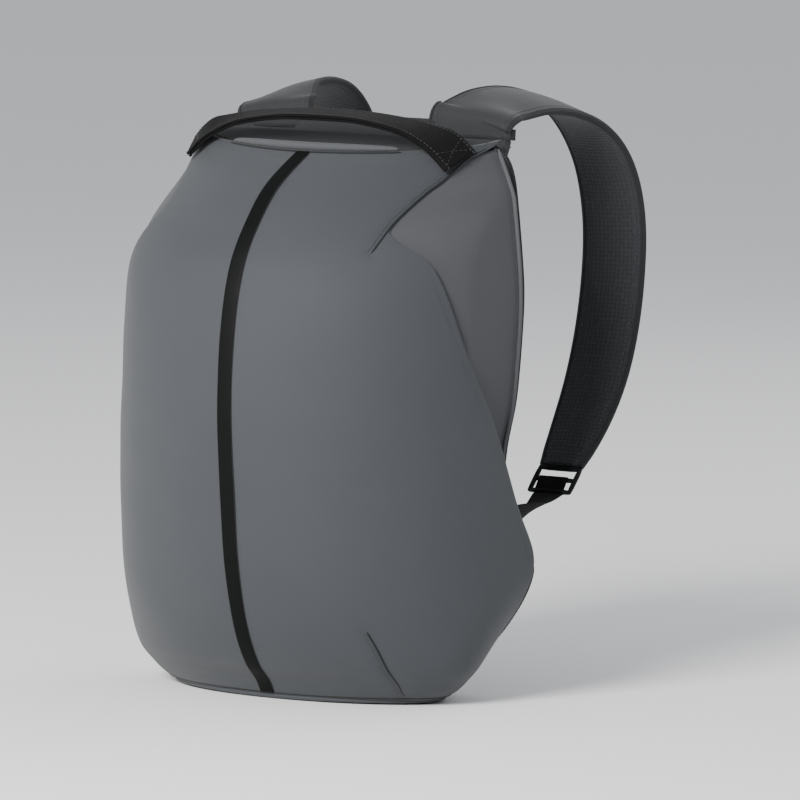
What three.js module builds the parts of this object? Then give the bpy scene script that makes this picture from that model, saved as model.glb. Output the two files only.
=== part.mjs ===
import * as THREE from 'three';

// A structured backpack standing on its flat base, with a hidden opening along its rear edge.
// Millimetres, +Z up, the front faces -Y. The origin is the middle of the base.

// Driving dimensions
const HEIGHT = 420; // base to the rear edge of the roof
const HALF_WIDTH = 164; // middle to the widest place of the skin
const DEPTH = 180; // rear rim to the fullest place of the front
const GAP = 0.3; // left between pieces that touch
const SKIN = 3; // wall of the outer skin
const SIDE_WALL = 3; // wall of the inner side panels
const ROOF_WALL = 3;
const ROOF_DROP = 1.5; // roof below the top edge of the skin
const BASE_WALL = 3;
const PLATE_INSET = 4.2; // roof and base inside the skin's outer face
const PANEL_START = 0.05; // share of HEIGHT above which the side panels begin
const PANEL_SLOPE = 0.03; // side panels run in towards the front
const PANEL_LAP = 14; // side panels reach this far behind the skin's free edge
const PANEL_MEET = 0.66; // share of a section's depth where the side panels meet the skin
const HALF_SAMPLES = 20; // points of a section on each side of its middle, read for the side panels
const ZIP_WIDTH = 8; // band along the rear edge
const ZIP_WALL = 6;
const ZIP_INSET = 2.5; // band inside the rear outline
const BACK_THICKNESS = 12;
const BACK_INSET = 6; // back panel inside the rear outline
const BACK_ROUND = 3; // rounded rim of the back panel
const WING_RISE = 8; // height over which the lower rear corners narrow to the side panels
const STRIP_WIDTH = 11.5;
const STRIP_THICKNESS = 1.2;
const LIP_HALF_LENGTH = 71;
const LIP_RADIUS = 2.8;
const HANDLE_WIDTH = 29;
const HANDLE_THICKNESS = 4.5;
const HANDLE_SPAN = 118; // middle to the sewn end
const HANDLE_RISE = 17; // crest above the rear edge of the roof
const YOKE_HALF_WIDTH = 126;
const YOKE_THICKNESS = 7;
const YOKE_BOTTOM = 0.93; // shares of HEIGHT
const YOKE_TOP = 1.026;
const YOKE_CORNER = 0.978; // top of its cut ends
const YOKE_SHARES = [0, 0.25, 0.5, 0.857, 1]; // of YOKE_HALF_WIDTH, where its outline has corners
const STRAP_WIDTH = 60;
const STRAP_THICKNESS = 9;
const STRAP_EDGE = 5; // strap thickness at its bound edges
const STRAP_REACH = 182; // how far the straps stand out behind the back panel
const STRAP_DROP = 265; // yoke's top to the straps' lower ends
const LOCK_WIDTH = 38;
const LOCK_LENGTH = 28;
const LOCK_THICKNESS = 4;
const LOCK_CORNER = 4;
const WEB_WIDTH = 25;
const WEB_THICKNESS = 1.6;
const WEB_FRAMES = 13;
const ANCHOR_HEIGHT = 0.306; // share of HEIGHT

const table = (columns, rows) =>
  rows.map((row) => Object.fromEntries(columns.map((name, i) => [name, row[i]])));

// Sections of the body from the base up. front and rear are a section's heights at the middle of the
// front and at the rear rim, as shares of HEIGHT, so the upper sections slope like the roof.
// half, tuck and inner are half-widths of the skin, of its rear rim and of the side panel's rear rim,
// as shares of HALF_WIDTH. depth and mouth are shares of DEPTH: how far the section reaches, and how
// far forward the skin's free edge lies. power is that of the superellipse, and curl the share of a
// section's depth over which it tucks in at the rear.
const BODY = table(
  ['front', 'rear', 'half', 'depth', 'power', 'tuck', 'mouth', 'inner', 'curl'],
  [
    [0.0, 0.0, 0.72, 0.569, 2.2, 0.47, 0.0, 0.5, 0.7],
    [0.012, 0.012, 0.82, 0.589, 2.2, 0.52, 0.0, 0.6, 0.7],
    [0.034, 0.034, 0.905, 0.626, 2.2, 0.6, 0.0, 0.7, 0.7],
    [0.066, 0.066, 0.95, 0.712, 2.2, 0.71, 0.0, 0.76, 0.62],
    [0.129, 0.129, 0.972, 0.808, 2.2, 0.86, 0.0, 0.785, 0.5],
    [0.193, 0.193, 0.988, 0.866, 2.2, 0.97, 0.0, 0.795, 0.4],
    [0.254, 0.254, 0.991, 0.906, 2.2, 1.015, 0.0, 0.8, 0.35],
    [0.366, 0.366, 0.991, 0.948, 2.2, 0.991, 0.137, 0.82, 0.35],
    [0.454, 0.454, 0.988, 0.975, 2.2, 0.988, 0.229, 0.836, 0.35],
    [0.53, 0.53, 0.98, 0.991, 2.2, 0.98, 0.311, 0.88, 0.35],
    [0.61, 0.61, 0.976, 0.99, 2.2, 0.976, 0.417, 0.895, 0.35],
    [0.7, 0.703, 0.974, 0.968, 2.2, 0.974, 0.5, 0.906, 0.35],
    [0.735, 0.745, 0.974, 0.951, 2.2, 0.974, 0.53, 0.903, 0.35],
    [0.79, 0.81, 0.965, 0.908, 2.1, 0.965, 0.571, 0.885, 0.35],
    [0.848, 0.88, 0.9, 0.811, 2.0, 0.9, 0.594, 0.862, 0.35],
    [0.88, 0.915, 0.862, 0.744, 1.75, 0.862, 0.45, 0.85, 0.35],
    [0.905, 0.943, 0.835, 0.693, 1.62, 0.835, 0.29, 0.838, 0.35],
    [0.932, 0.965, 0.808, 0.592, 1.62, 0.808, 0.19, 0.812, 0.35],
    [0.956, 0.983, 0.787, 0.47, 1.7, 0.787, 0.09, 0.79, 0.35],
    [0.973, 1.0, 0.772, 0.391, 1.85, 0.772, 0.0, 0.772, 0.35],
  ],
);
const BASE_ROW = BODY[0];
const TOP_ROW = BODY[BODY.length - 1];
// Where the lower rear corners end and the pocket mouths begin.
const CORNER_ROW = BODY.findIndex((row) => row.mouth > 0) - 1;

// The carry handle from its sewn end to its crest. across is a share of HANDLE_SPAN, rise of
// HANDLE_RISE above the roof's rear edge, width of HANDLE_WIDTH; forward is the share of DEPTH ahead
// of the rear rim, and cant turns the band to lie along the side seam.
const HANDLE = table(
  ['across', 'forward', 'rise', 'width', 'cant'],
  [
    [1.0, 0.228, -1.0, 1.14, 41],
    [0.93, 0.236, -0.5, 1.12, 40],
    [0.865, 0.239, -0.13, 1.09, 35],
    [0.79, 0.239, 0.1, 1.05, 27],
    [0.6, 0.239, 0.5, 1.0, 15],
    [0.3, 0.239, 0.79, 0.96, 10],
    [0.0, 0.239, 0.86, 0.95, 10],
  ],
);

// A shoulder strap from the yoke over its crest to the lower end. across is a share of HALF_WIDTH,
// back of STRAP_REACH, width of STRAP_WIDTH; up is the height above the yoke's top as a share of
// STRAP_DROP, and cant lowers the outer edge.
const STRAP = table(
  ['across', 'back', 'up', 'width', 'cant'],
  [
    [0.485, 0.021, 0.0, 0.95, 0],
    [0.5, 0.04, 0.018, 0.94, 3],
    [0.532, 0.107, 0.034, 0.93, 10],
    [0.566, 0.2, 0.046, 0.92, 18],
    [0.597, 0.381, 0.056, 0.9, 17],
    [0.634, 0.601, 0.033, 0.9, 15],
    [0.665, 0.793, -0.035, 0.9, 10],
    [0.69, 0.931, -0.148, 0.9, 5],
    [0.702, 1.0, -0.299, 0.9, 0],
    [0.705, 1.0, -0.457, 0.9, 0],
    [0.705, 0.958, -0.616, 0.9, 0],
    [0.705, 0.876, -0.759, 0.88, 0],
    [0.705, 0.766, -0.872, 0.82, 0],
    [0.705, 0.661, -0.955, 0.72, 0],
    [0.705, 0.596, -1.0, 0.62, 0],
  ],
);

// The webbing from its anchor on the back panel's edge to the lower bar of the strap's lock.
// along is the share of the way; rise, in millimetres, lifts it above the straight line; turn is the
// angle by which the band has turned from upright to lying across.
const WEBBING = table(
  ['along', 'rise', 'turn'],
  [
    [0.0, 0, 0],
    [0.14, 0, 2],
    [0.4, -2, 30],
    [0.7, -3, 66],
    [1.0, 0, 90],
  ],
);

const REAR_Y = (BASE_ROW.depth * DEPTH) / 2;
const ZIP_REAR_Y = REAR_Y + GAP + ZIP_WIDTH;
const PANEL_FRONT_Y = ZIP_REAR_Y + GAP;
const PANEL_REAR_Y = PANEL_FRONT_Y + BACK_THICKNESS;
const vec = (x, y, z) => new THREE.Vector3(x, y, z);
const mix = (a, b, f) => a + (b - a) * f;

// Solids

function meshFrom(name, positions, index, material) {
  const geometry = new THREE.BufferGeometry();
  geometry.setAttribute('position', new THREE.Float32BufferAttribute(positions, 3));
  geometry.setIndex(index);
  geometry.computeVertexNormals();
  const mesh = new THREE.Mesh(geometry, material);
  mesh.name = name;
  return mesh;
}

// A closed solid between two grids of points of the same size.
function sheet(name, outer, inner, material) {
  const rows = outer.length;
  const columns = outer[0].length;
  const positions = [...outer.flat(), ...inner.flat()].flatMap((p) => [p.x, p.y, p.z]);
  const at = (side, r, c) => side * rows * columns + r * columns + c;
  const index = [];
  const quad = (a, b, c, d) => index.push(a, b, c, a, c, d);
  for (let r = 0; r + 1 < rows; r++) {
    for (let c = 0; c + 1 < columns; c++) {
      quad(at(0, r, c), at(0, r, c + 1), at(0, r + 1, c + 1), at(0, r + 1, c));
      quad(at(1, r, c), at(1, r + 1, c), at(1, r + 1, c + 1), at(1, r, c + 1));
    }
    quad(at(0, r, 0), at(0, r + 1, 0), at(1, r + 1, 0), at(1, r, 0));
    const last = columns - 1;
    quad(at(0, r + 1, last), at(0, r, last), at(1, r, last), at(1, r + 1, last));
  }
  for (let c = 0; c + 1 < columns; c++) {
    quad(at(0, 0, c + 1), at(0, 0, c), at(1, 0, c), at(1, 0, c + 1));
    const last = rows - 1;
    quad(at(0, last, c), at(0, last, c + 1), at(1, last, c + 1), at(1, last, c));
  }
  if (signedVolume(positions, index) < 0) index.reverse();
  return meshFrom(name, positions, index, material);
}

function signedVolume(positions, index) {
  const point = (i) => vec(positions[3 * i], positions[3 * i + 1], positions[3 * i + 2]);
  let volume = 0;
  for (let i = 0; i < index.length; i += 3) {
    volume += point(index[i]).dot(point(index[i + 1]).cross(point(index[i + 2])));
  }
  return volume / 6;
}

// Outward normals of a grid whose columns run from -X round the front to +X and whose rows rise.
function gridNormals(grid) {
  return grid.map((row, r) =>
    row.map((_, c) => {
      const up = grid[Math.min(r + 1, grid.length - 1)][c].clone().sub(grid[Math.max(r - 1, 0)][c]);
      const along = row[Math.min(c + 1, row.length - 1)].clone().sub(row[Math.max(c - 1, 0)]);
      return along.cross(up).normalize();
    }),
  );
}

// The grid moved in by a wall. Its top and bottom rows stay level and its end columns stay in depth.
function inward(grid, wall) {
  const normals = gridNormals(grid);
  return grid.map((row, r) =>
    row.map((p, c) => {
      const q = p.clone().addScaledVector(normals[r][c], -wall);
      if (r === 0 || r === grid.length - 1) q.z = p.z;
      if (c === 0 || c === row.length - 1) q.y = p.y;
      return q;
    }),
  );
}

// A band swept along points: each frame has a place, the direction of its width, its width, and
// the band's own direction there if it isn't that of its neighbours.
function band(name, frames, thicknessAt, columns, material) {
  const outer = [];
  const inner = [];
  frames.forEach((frame, i) => {
    const before = frames[Math.max(i - 1, 0)].place;
    const after = frames[Math.min(i + 1, frames.length - 1)].place;
    const along = frame.along ?? after.clone().sub(before).normalize();
    const side = frame.side.clone().addScaledVector(along, -frame.side.dot(along)).normalize();
    const normal = along.clone().cross(side);
    const spread = (sign) =>
      Array.from({ length: columns }, (_, c) => {
        const u = (2 * c) / (columns - 1) - 1;
        return frame.place
          .clone()
          .addScaledVector(side, (u * frame.width) / 2)
          .addScaledVector(normal, (sign * thicknessAt(u)) / 2);
      });
    outer.push(spread(1));
    inner.push(spread(-1));
  });
  return sheet(name, outer, inner, material);
}

// Rows of a table read along a smooth curve through them.
function smooth(rows, samples) {
  const names = Object.keys(rows[0]);
  const last = rows.length - 1;
  return Array.from({ length: samples }, (_, i) => {
    const t = (i / (samples - 1)) * last;
    const k = Math.min(Math.floor(t), last - 1);
    const f = t - k;
    const near = [k - 1, k, k + 1, k + 2].map((n) => rows[Math.min(Math.max(n, 0), last)]);
    return Object.fromEntries(
      names.map((name) => {
        const [a, b, c, d] = near.map((row) => row[name]);
        const cubic = b + 0.5 * f * (c - a + f * (2 * a - 5 * b + 4 * c - d + f * (3 * (b - c) + d - a)));
        return [name, cubic];
      }),
    );
  });
}

// Body sections

function halfWidthAt(row, forward, inset = 0) {
  const depth = row.depth * DEPTH - inset;
  const share = Math.min(Math.max(forward / depth, 0), 1);
  const curl = (row.half - row.tuck) * HALF_WIDTH;
  const tuck = Math.max(0, 1 - share / row.curl) ** 2;
  return (row.half * HALF_WIDTH - inset) * (1 - share ** row.power) ** (1 / row.power) - curl * tuck;
}

const heightAt = (row, forward) =>
  HEIGHT * mix(row.rear, row.front, Math.min(forward / (row.depth * DEPTH), 1));

// A point of the skin: f runs from -1 at the left free edge over the front to 1 at the right one.
function skinPoint(row, f, mouth = row.mouth) {
  const edge = Math.acos((mouth / row.depth) ** (row.power / 2));
  const angle = Math.abs(f) * edge;
  const forward = row.depth * DEPTH * Math.max(Math.cos(angle), 0) ** (2 / row.power);
  const x = Math.sign(f) * halfWidthAt(row, forward);
  return vec(x, REAR_Y - forward, heightAt(row, forward));
}

function frontShell(material) {
  const columns = 33;
  const outer = BODY.map((row) =>
    Array.from({ length: columns }, (_, c) => skinPoint(row, (2 * c) / (columns - 1) - 1)),
  );
  return sheet('front_shell', outer, inward(outer, SKIN), material);
}

// The inner side wall: straight from the rear rim until it meets the inside of the skin.
function sidePanel(name, side, material) {
  const inside = inward(
    BODY.map((row) =>
      Array.from({ length: 2 * HALF_SAMPLES + 1 }, (_, c) => skinPoint(row, c / HALF_SAMPLES - 1, 0)),
    ),
    SKIN + 2 * GAP,
  );
  const columns = 9;
  const grid = BODY.map((row, r) => {
    const end = Math.max(PANEL_MEET * row.depth, row.mouth + PANEL_LAP / DEPTH) * DEPTH;
    return Array.from({ length: columns }, (_, c) => {
      const y = REAR_Y - (end * c) / (columns - 1);
      const next = inside[r].findIndex((p, i) => i > HALF_SAMPLES && p.y >= y - 1e-6);
      const [a, b] = [inside[r][next - 1], inside[r][next]];
      const limit = a.clone().lerp(b, (y - a.y) / (b.y - a.y));
      const straight = row.inner * HALF_WIDTH - PANEL_SLOPE * (REAR_Y - y);
      return vec(side * Math.min(straight, limit.x), y, limit.z);
    });
  }).slice(BODY.findIndex((row) => row.rear > PANEL_START), -1);
  const ordered = side < 0 ? grid : grid.map((row) => [...row].reverse());
  return sheet(name, ordered, inward(ordered, SIDE_WALL), material);
}

// A plate across a body section, inside the skin, from the rear rim to the front.
function sectionPlate(name, row, top, thickness, material) {
  const steps = 9;
  const columns = 7;
  const level = (drop) =>
    Array.from({ length: steps }, (_, r) => {
      const share = Math.sin((0.46 * Math.PI * r) / (steps - 1));
      const forward = mix(GAP, row.depth * DEPTH - PLATE_INSET, share);
      const half = halfWidthAt(row, forward, PLATE_INSET);
      return Array.from({ length: columns }, (_, c) =>
        vec(half * ((2 * c) / (columns - 1) - 1), REAR_Y - forward, heightAt(row, forward) + top - drop),
      );
    });
  return sheet(name, level(0), level(thickness), material);
}

// Rear outline

// Outline of the rear rim, moved in by an inset, counterclockwise from the lower right.
function rimOutline(inset) {
  const lower = BODY.slice(0, CORNER_ROW + 1).map((row) => [row.tuck, Math.max(row.rear * HEIGHT, inset)]);
  const wingTop = BODY[CORNER_ROW].rear * HEIGHT + WING_RISE - inset / 2;
  const upper = BODY.slice(CORNER_ROW + 1).map((row) => [row.inner, Math.min(row.rear * HEIGHT, HEIGHT - inset)]);
  const right = [...lower, [BODY[CORNER_ROW].inner, wingTop], ...upper].filter(
    ([, z], i, all) => i === 0 || z > all[i - 1][1] + 1,
  );
  const points = right.map(([half, z]) => new THREE.Vector2(half * HALF_WIDTH - inset, z));
  const mirrored = [...points].reverse().map((p) => new THREE.Vector2(-p.x, p.y));
  return [...points, ...mirrored];
}

// A shape in X and Z, extruded forward from the rear face at rearY.
function extrudeForward(name, shape, thickness, bevel, rearY, material) {
  const geometry = new THREE.ExtrudeGeometry(shape, {
    depth: thickness - 2 * bevel,
    bevelEnabled: bevel > 0,
    bevelThickness: bevel,
    bevelSize: bevel,
    bevelOffset: -bevel,
    bevelSegments: 2,
    curveSegments: 6,
  });
  const mesh = new THREE.Mesh(geometry, material);
  mesh.name = name;
  mesh.rotation.x = Math.PI / 2;
  mesh.position.y = rearY - bevel;
  return mesh;
}

function mainZip(material) {
  const shape = new THREE.Shape(rimOutline(ZIP_INSET));
  shape.holes.push(new THREE.Path(rimOutline(ZIP_INSET + ZIP_WALL).reverse()));
  return extrudeForward('main_zip', shape, ZIP_WIDTH, 0, ZIP_REAR_Y, material);
}

function backPanel(material) {
  const shape = new THREE.Shape(rimOutline(BACK_INSET));
  return extrudeForward('back_panel', shape, BACK_THICKNESS, BACK_ROUND, PANEL_REAR_Y, material);
}

// Front trim

function centerStrip(material) {
  const line = BODY.slice(1).map((row) => skinPoint(row, 0));
  const at = (i) => line[Math.min(Math.max(i, 0), line.length - 1)];
  const level = (lift) =>
    line.map((p, i) => {
      const along = at(i + 1).clone().sub(at(i - 1));
      const normal = vec(0, -along.z, along.y).normalize();
      return [-0.5, 0.5].map((u) =>
        vec(u * STRIP_WIDTH, p.y + normal.y * lift, p.z + normal.z * lift),
      );
    });
  return sheet('center_strip', level(GAP + STRIP_THICKNESS), level(GAP), material);
}

// The rolled edge that stands on the skin's top edge, swept along the front of the roof.
function topLip(material) {
  const reach = TOP_ROW.depth * DEPTH;
  const points = Array.from({ length: 13 }, (_, i) => {
    const x = LIP_HALF_LENGTH * ((2 * i) / 12 - 1);
    const share = Math.abs(x) / (TOP_ROW.half * HALF_WIDTH);
    const forward = reach * (1 - share ** TOP_ROW.power) ** (1 / TOP_ROW.power) - SKIN / 2;
    return vec(x, REAR_Y - forward, heightAt(TOP_ROW, forward) + GAP + LIP_RADIUS);
  });
  const circle = new THREE.Shape();
  circle.absarc(0, 0, LIP_RADIUS, 0, 2 * Math.PI);
  const geometry = new THREE.ExtrudeGeometry(circle, {
    extrudePath: new THREE.CatmullRomCurve3(points),
    steps: 16,
    curveSegments: 8,
    bevelEnabled: false,
  });
  const mesh = new THREE.Mesh(geometry, material);
  mesh.name = 'top_lip';
  return mesh;
}

function carryHandle(material) {
  const half = smooth(HANDLE, 11);
  const place = (row, side) => ({
    place: vec(side * row.across * HANDLE_SPAN, REAR_Y - row.forward * DEPTH, HEIGHT + row.rise * HANDLE_RISE),
    side: vec(0, Math.cos((row.cant * Math.PI) / 180), Math.sin((row.cant * Math.PI) / 180)),
    width: row.width * HANDLE_WIDTH,
  });
  const left = half.map((row) => place(row, -1));
  const right = half.slice(0, -1).map((row) => place(row, 1));
  return band('carry_handle', [...left, ...right.reverse()], () => HANDLE_THICKNESS, 3, material);
}

// Harness

// Its upper corners are cut down beside the straps.
function strapYoke(material) {
  const frontY = PANEL_REAR_Y + GAP;
  const shares = [...YOKE_SHARES.slice(1).reverse().map((share) => -share), ...YOKE_SHARES];
  const topAt = (share) => (Math.abs(share) < 1 ? YOKE_TOP : YOKE_CORNER);
  const level = (y) =>
    [() => YOKE_BOTTOM, topAt].map((heightOf) =>
      shares.map((share) => vec(YOKE_HALF_WIDTH * share, y, heightOf(share) * HEIGHT)),
    );
  return sheet('strap_yoke', level(frontY + YOKE_THICKNESS), level(frontY), material);
}

function strapFrames(side) {
  return smooth(STRAP, 29).map((row, i) => ({
    along: i === 0 ? vec(0, 0, 1) : undefined,
    place: vec(
      side * row.across * HALF_WIDTH,
      PANEL_REAR_Y + row.back * STRAP_REACH,
      YOKE_TOP * HEIGHT + GAP + row.up * STRAP_DROP,
    ),
    side: vec(Math.cos((row.cant * Math.PI) / 180), 0, -side * Math.sin((row.cant * Math.PI) / 180)),
    width: row.width * STRAP_WIDTH,
  }));
}

const strapThickness = (u) => mix(STRAP_THICKNESS, STRAP_EDGE, u * u);

// The place and downward direction of a strap's lower end.
function strapEnd(side) {
  const frames = strapFrames(side);
  const last = frames[frames.length - 1].place;
  const down = last.clone().sub(frames[frames.length - 2].place).normalize();
  return { place: last, down };
}

// The hidden adjuster at a strap's lower end, one plain piece.
function ladderLock(name, side, material) {
  const half = LOCK_WIDTH / 2;
  const shape = new THREE.Shape();
  shape.moveTo(-half + LOCK_CORNER, 0);
  shape.lineTo(half - LOCK_CORNER, 0);
  shape.quadraticCurveTo(half, 0, half, LOCK_CORNER);
  shape.lineTo(half, LOCK_LENGTH - LOCK_CORNER);
  shape.quadraticCurveTo(half, LOCK_LENGTH, half - LOCK_CORNER, LOCK_LENGTH);
  shape.lineTo(-half + LOCK_CORNER, LOCK_LENGTH);
  shape.quadraticCurveTo(-half, LOCK_LENGTH, -half, LOCK_LENGTH - LOCK_CORNER);
  shape.lineTo(-half, LOCK_CORNER);
  shape.quadraticCurveTo(-half, 0, -half + LOCK_CORNER, 0);
  const geometry = new THREE.ExtrudeGeometry(shape, {
    depth: LOCK_THICKNESS,
    bevelEnabled: false,
    curveSegments: 3,
  });
  geometry.translate(0, 0, -LOCK_THICKNESS / 2);
  const { place, down } = strapEnd(side);
  const across = vec(1, 0, 0);
  const basis = new THREE.Matrix4().makeBasis(across, down, across.clone().cross(down));
  const mesh = new THREE.Mesh(geometry, material);
  mesh.name = name;
  mesh.quaternion.setFromRotationMatrix(basis);
  mesh.position.copy(place).addScaledVector(down, GAP);
  return mesh;
}

function strapWebbing(name, side, material) {
  const edge = BODY[CORNER_ROW + 1].inner * HALF_WIDTH;
  const start = vec(side * (edge + WEB_THICKNESS / 2 + GAP - BACK_INSET), PANEL_REAR_Y - BACK_THICKNESS / 2, ANCHOR_HEIGHT * HEIGHT);
  const { place, down } = strapEnd(side);
  const end = place.clone().addScaledVector(down, 2 * GAP + LOCK_LENGTH);
  const frames = smooth(WEBBING, WEB_FRAMES).map((row, i) => {
    const angle = (row.turn * Math.PI) / 180;
    const p = start.clone().lerp(end, row.along);
    p.z += row.rise;
    return {
      place: p,
      side: vec(Math.sin(angle), 0, Math.cos(angle)),
      width: WEB_WIDTH,
      along: i === WEB_FRAMES - 1 ? down.clone().negate() : undefined,
    };
  });
  return band(name, frames, () => WEB_THICKNESS, 3, material);
}

// Assembly

const finish = (color, roughness, metalness = 0) =>
  new THREE.MeshStandardMaterial({ color, roughness, metalness });
const skinFabric = finish('#5f6264', 0.72);
const sideFabric = finish('#66696b', 0.78);
const lipFabric = finish('#74787a', 0.7);
const darkFabric = finish('#26282a', 0.8);
const rubber = finish('#1d1e1f', 0.5);
const webbing = finish('#202224', 0.75);
const padding = finish('#3a3d3f', 0.9);
const strapFabric = finish('#545759', 0.8);
const plastic = finish('#18191a', 0.4);

const backpack = new THREE.Group();
backpack.name = 'anti_theft_backpack';
backpack.add(
  frontShell(skinFabric),
  sectionPlate('roof_panel', TOP_ROW, -ROOF_DROP, ROOF_WALL, darkFabric),
  sectionPlate('base_panel', BASE_ROW, BASE_WALL, BASE_WALL, skinFabric),
  mainZip(darkFabric),
  backPanel(padding),
  centerStrip(rubber),
  topLip(lipFabric),
  carryHandle(webbing),
  strapYoke(strapFabric),
);
[['left', -1], ['right', 1]].forEach(([word, side]) => {
  backpack.add(
    sidePanel(`side_panel_${word}`, side, sideFabric),
    band(`shoulder_strap_${word}`, strapFrames(side), strapThickness, 5, strapFabric),
    ladderLock(`ladder_lock_${word}`, side, plastic),
    strapWebbing(`strap_webbing_${word}`, side, webbing),
  );
});

export default backpack;
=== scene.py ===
"""A grey anti theft backpack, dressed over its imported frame.

Everything is in metres, in the frame's own axes: the front faces -Y, the top is +Z, and the rear rim
of the body lies in one plane behind which the harness hangs.
"""

import math

import bmesh
import bpy
import numpy as np
from bpy.props import FloatProperty, FloatVectorProperty, PointerProperty
from bpy.types import Operator, Panel, PropertyGroup
from mathutils import Matrix, Vector


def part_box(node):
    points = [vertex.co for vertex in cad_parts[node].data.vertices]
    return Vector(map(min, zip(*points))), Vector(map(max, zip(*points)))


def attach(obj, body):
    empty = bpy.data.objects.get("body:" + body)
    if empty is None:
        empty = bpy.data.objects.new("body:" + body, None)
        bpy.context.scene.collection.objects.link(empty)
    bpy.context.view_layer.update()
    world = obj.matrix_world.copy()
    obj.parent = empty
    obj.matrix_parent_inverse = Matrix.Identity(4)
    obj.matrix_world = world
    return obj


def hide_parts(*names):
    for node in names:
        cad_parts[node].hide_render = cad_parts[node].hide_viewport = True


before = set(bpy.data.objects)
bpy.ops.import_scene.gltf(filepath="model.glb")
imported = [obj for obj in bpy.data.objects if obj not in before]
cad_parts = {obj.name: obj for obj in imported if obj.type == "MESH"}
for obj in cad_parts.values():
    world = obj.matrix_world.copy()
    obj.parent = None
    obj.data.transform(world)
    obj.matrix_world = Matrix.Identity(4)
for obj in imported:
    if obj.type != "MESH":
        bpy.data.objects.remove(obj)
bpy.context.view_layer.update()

bl_info = {
    "name": "Anti theft backpack",
    "version": (1, 0, 0),
    "blender": (4, 5, 0),
    "location": "3D View > Sidebar > Backpack",
    "description": "Makes a smooth grey backpack, piece by piece",
    "category": "Object",
}

MM = 0.001

# Sizes that the frame gives. The skin's box is 0.991 of its depth and 1.015 of its half width.
SKIN_LOW, SKIN_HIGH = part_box("front_shell")
HEIGHT = SKIN_HIGH[2]
REAR = SKIN_HIGH[1]
DEPTH = (REAR - SKIN_LOW[1]) / 0.991
HALF = SKIN_HIGH[0] / 1.015
WALL = 3 * MM
BACK_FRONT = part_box("back_panel")[0][1]
BACK_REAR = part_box("back_panel")[1][1]
SIDES = (("left", -1), ("right", 1))
PLATE_INSET = 4.2 * MM

# The recessed side walls run in towards the front, meet the skin at a share of a section's depth,
# and lap behind its free edge. The mouths and the piping begin at one height share.
SIDE_SLOPE = 0.03
SIDE_MEETS = 0.66
SIDE_LAP = 14 * MM
MOUTH_LOW = 0.262

# The body from its base to its top. Heights at the front and at the rear rim are shares of HEIGHT;
# half, tuck and inner of HALF; depth and mouth of DEPTH. The mouth is where a side pocket opens, and
# the curl is the share of a section's depth over which its sides tuck in at the rear.
FRONT, REAR_SHARE, HALF_SHARE, DEPTH_SHARE, POWER, TUCK, MOUTH, INNER, CURL = range(9)
BODY = np.array(
    [
        (0.0, 0.0, 0.72, 0.569, 2.2, 0.47, 0.0, 0.5, 0.7),
        (0.012, 0.012, 0.82, 0.589, 2.2, 0.52, 0.0, 0.6, 0.7),
        (0.034, 0.034, 0.905, 0.626, 2.2, 0.6, 0.0, 0.7, 0.7),
        (0.066, 0.066, 0.95, 0.712, 2.2, 0.71, 0.0, 0.76, 0.62),
        (0.129, 0.129, 0.972, 0.808, 2.2, 0.86, 0.0, 0.785, 0.5),
        (0.193, 0.193, 0.988, 0.866, 2.2, 0.97, 0.0, 0.795, 0.4),
        (0.254, 0.254, 0.991, 0.906, 2.2, 1.015, 0.0, 0.8, 0.35),
        (0.366, 0.366, 0.991, 0.948, 2.2, 0.991, 0.137, 0.82, 0.35),
        (0.454, 0.454, 0.988, 0.975, 2.2, 0.988, 0.229, 0.836, 0.35),
        (0.53, 0.53, 0.98, 0.991, 2.2, 0.98, 0.311, 0.88, 0.35),
        (0.61, 0.61, 0.976, 0.99, 2.2, 0.976, 0.417, 0.895, 0.35),
        (0.7, 0.703, 0.974, 0.968, 2.2, 0.974, 0.5, 0.906, 0.35),
        (0.735, 0.745, 0.974, 0.951, 2.2, 0.974, 0.53, 0.903, 0.35),
        (0.79, 0.81, 0.965, 0.908, 2.1, 0.965, 0.571, 0.885, 0.35),
        (0.848, 0.88, 0.9, 0.811, 2.0, 0.9, 0.594, 0.862, 0.35),
        (0.88, 0.915, 0.862, 0.744, 1.75, 0.862, 0.45, 0.85, 0.35),
        (0.905, 0.943, 0.835, 0.693, 1.62, 0.835, 0.29, 0.838, 0.35),
        (0.932, 0.965, 0.808, 0.592, 1.62, 0.808, 0.19, 0.812, 0.35),
        (0.956, 0.983, 0.787, 0.47, 1.7, 0.787, 0.09, 0.79, 0.35),
        (0.973, 1.0, 0.772, 0.391, 1.85, 0.772, 0.0, 0.772, 0.35),
    ]
)
CORNER = 6
TOP = BODY[-1]

# The carry handle from its sewn end to its crest: across, forward, rise, width, cant in degrees.
HANDLE = np.array(
    [
        (1.0, 0.228, -1.0, 1.14, 41),
        (0.93, 0.236, -0.5, 1.12, 40),
        (0.865, 0.239, -0.13, 1.09, 35),
        (0.79, 0.239, 0.1, 1.05, 27),
        (0.6, 0.239, 0.5, 1.0, 15),
        (0.3, 0.239, 0.79, 0.96, 10),
        (0.0, 0.239, 0.86, 0.95, 10),
    ]
)
HANDLE_SPAN = 118 * MM
HANDLE_RISE = 17 * MM

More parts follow.
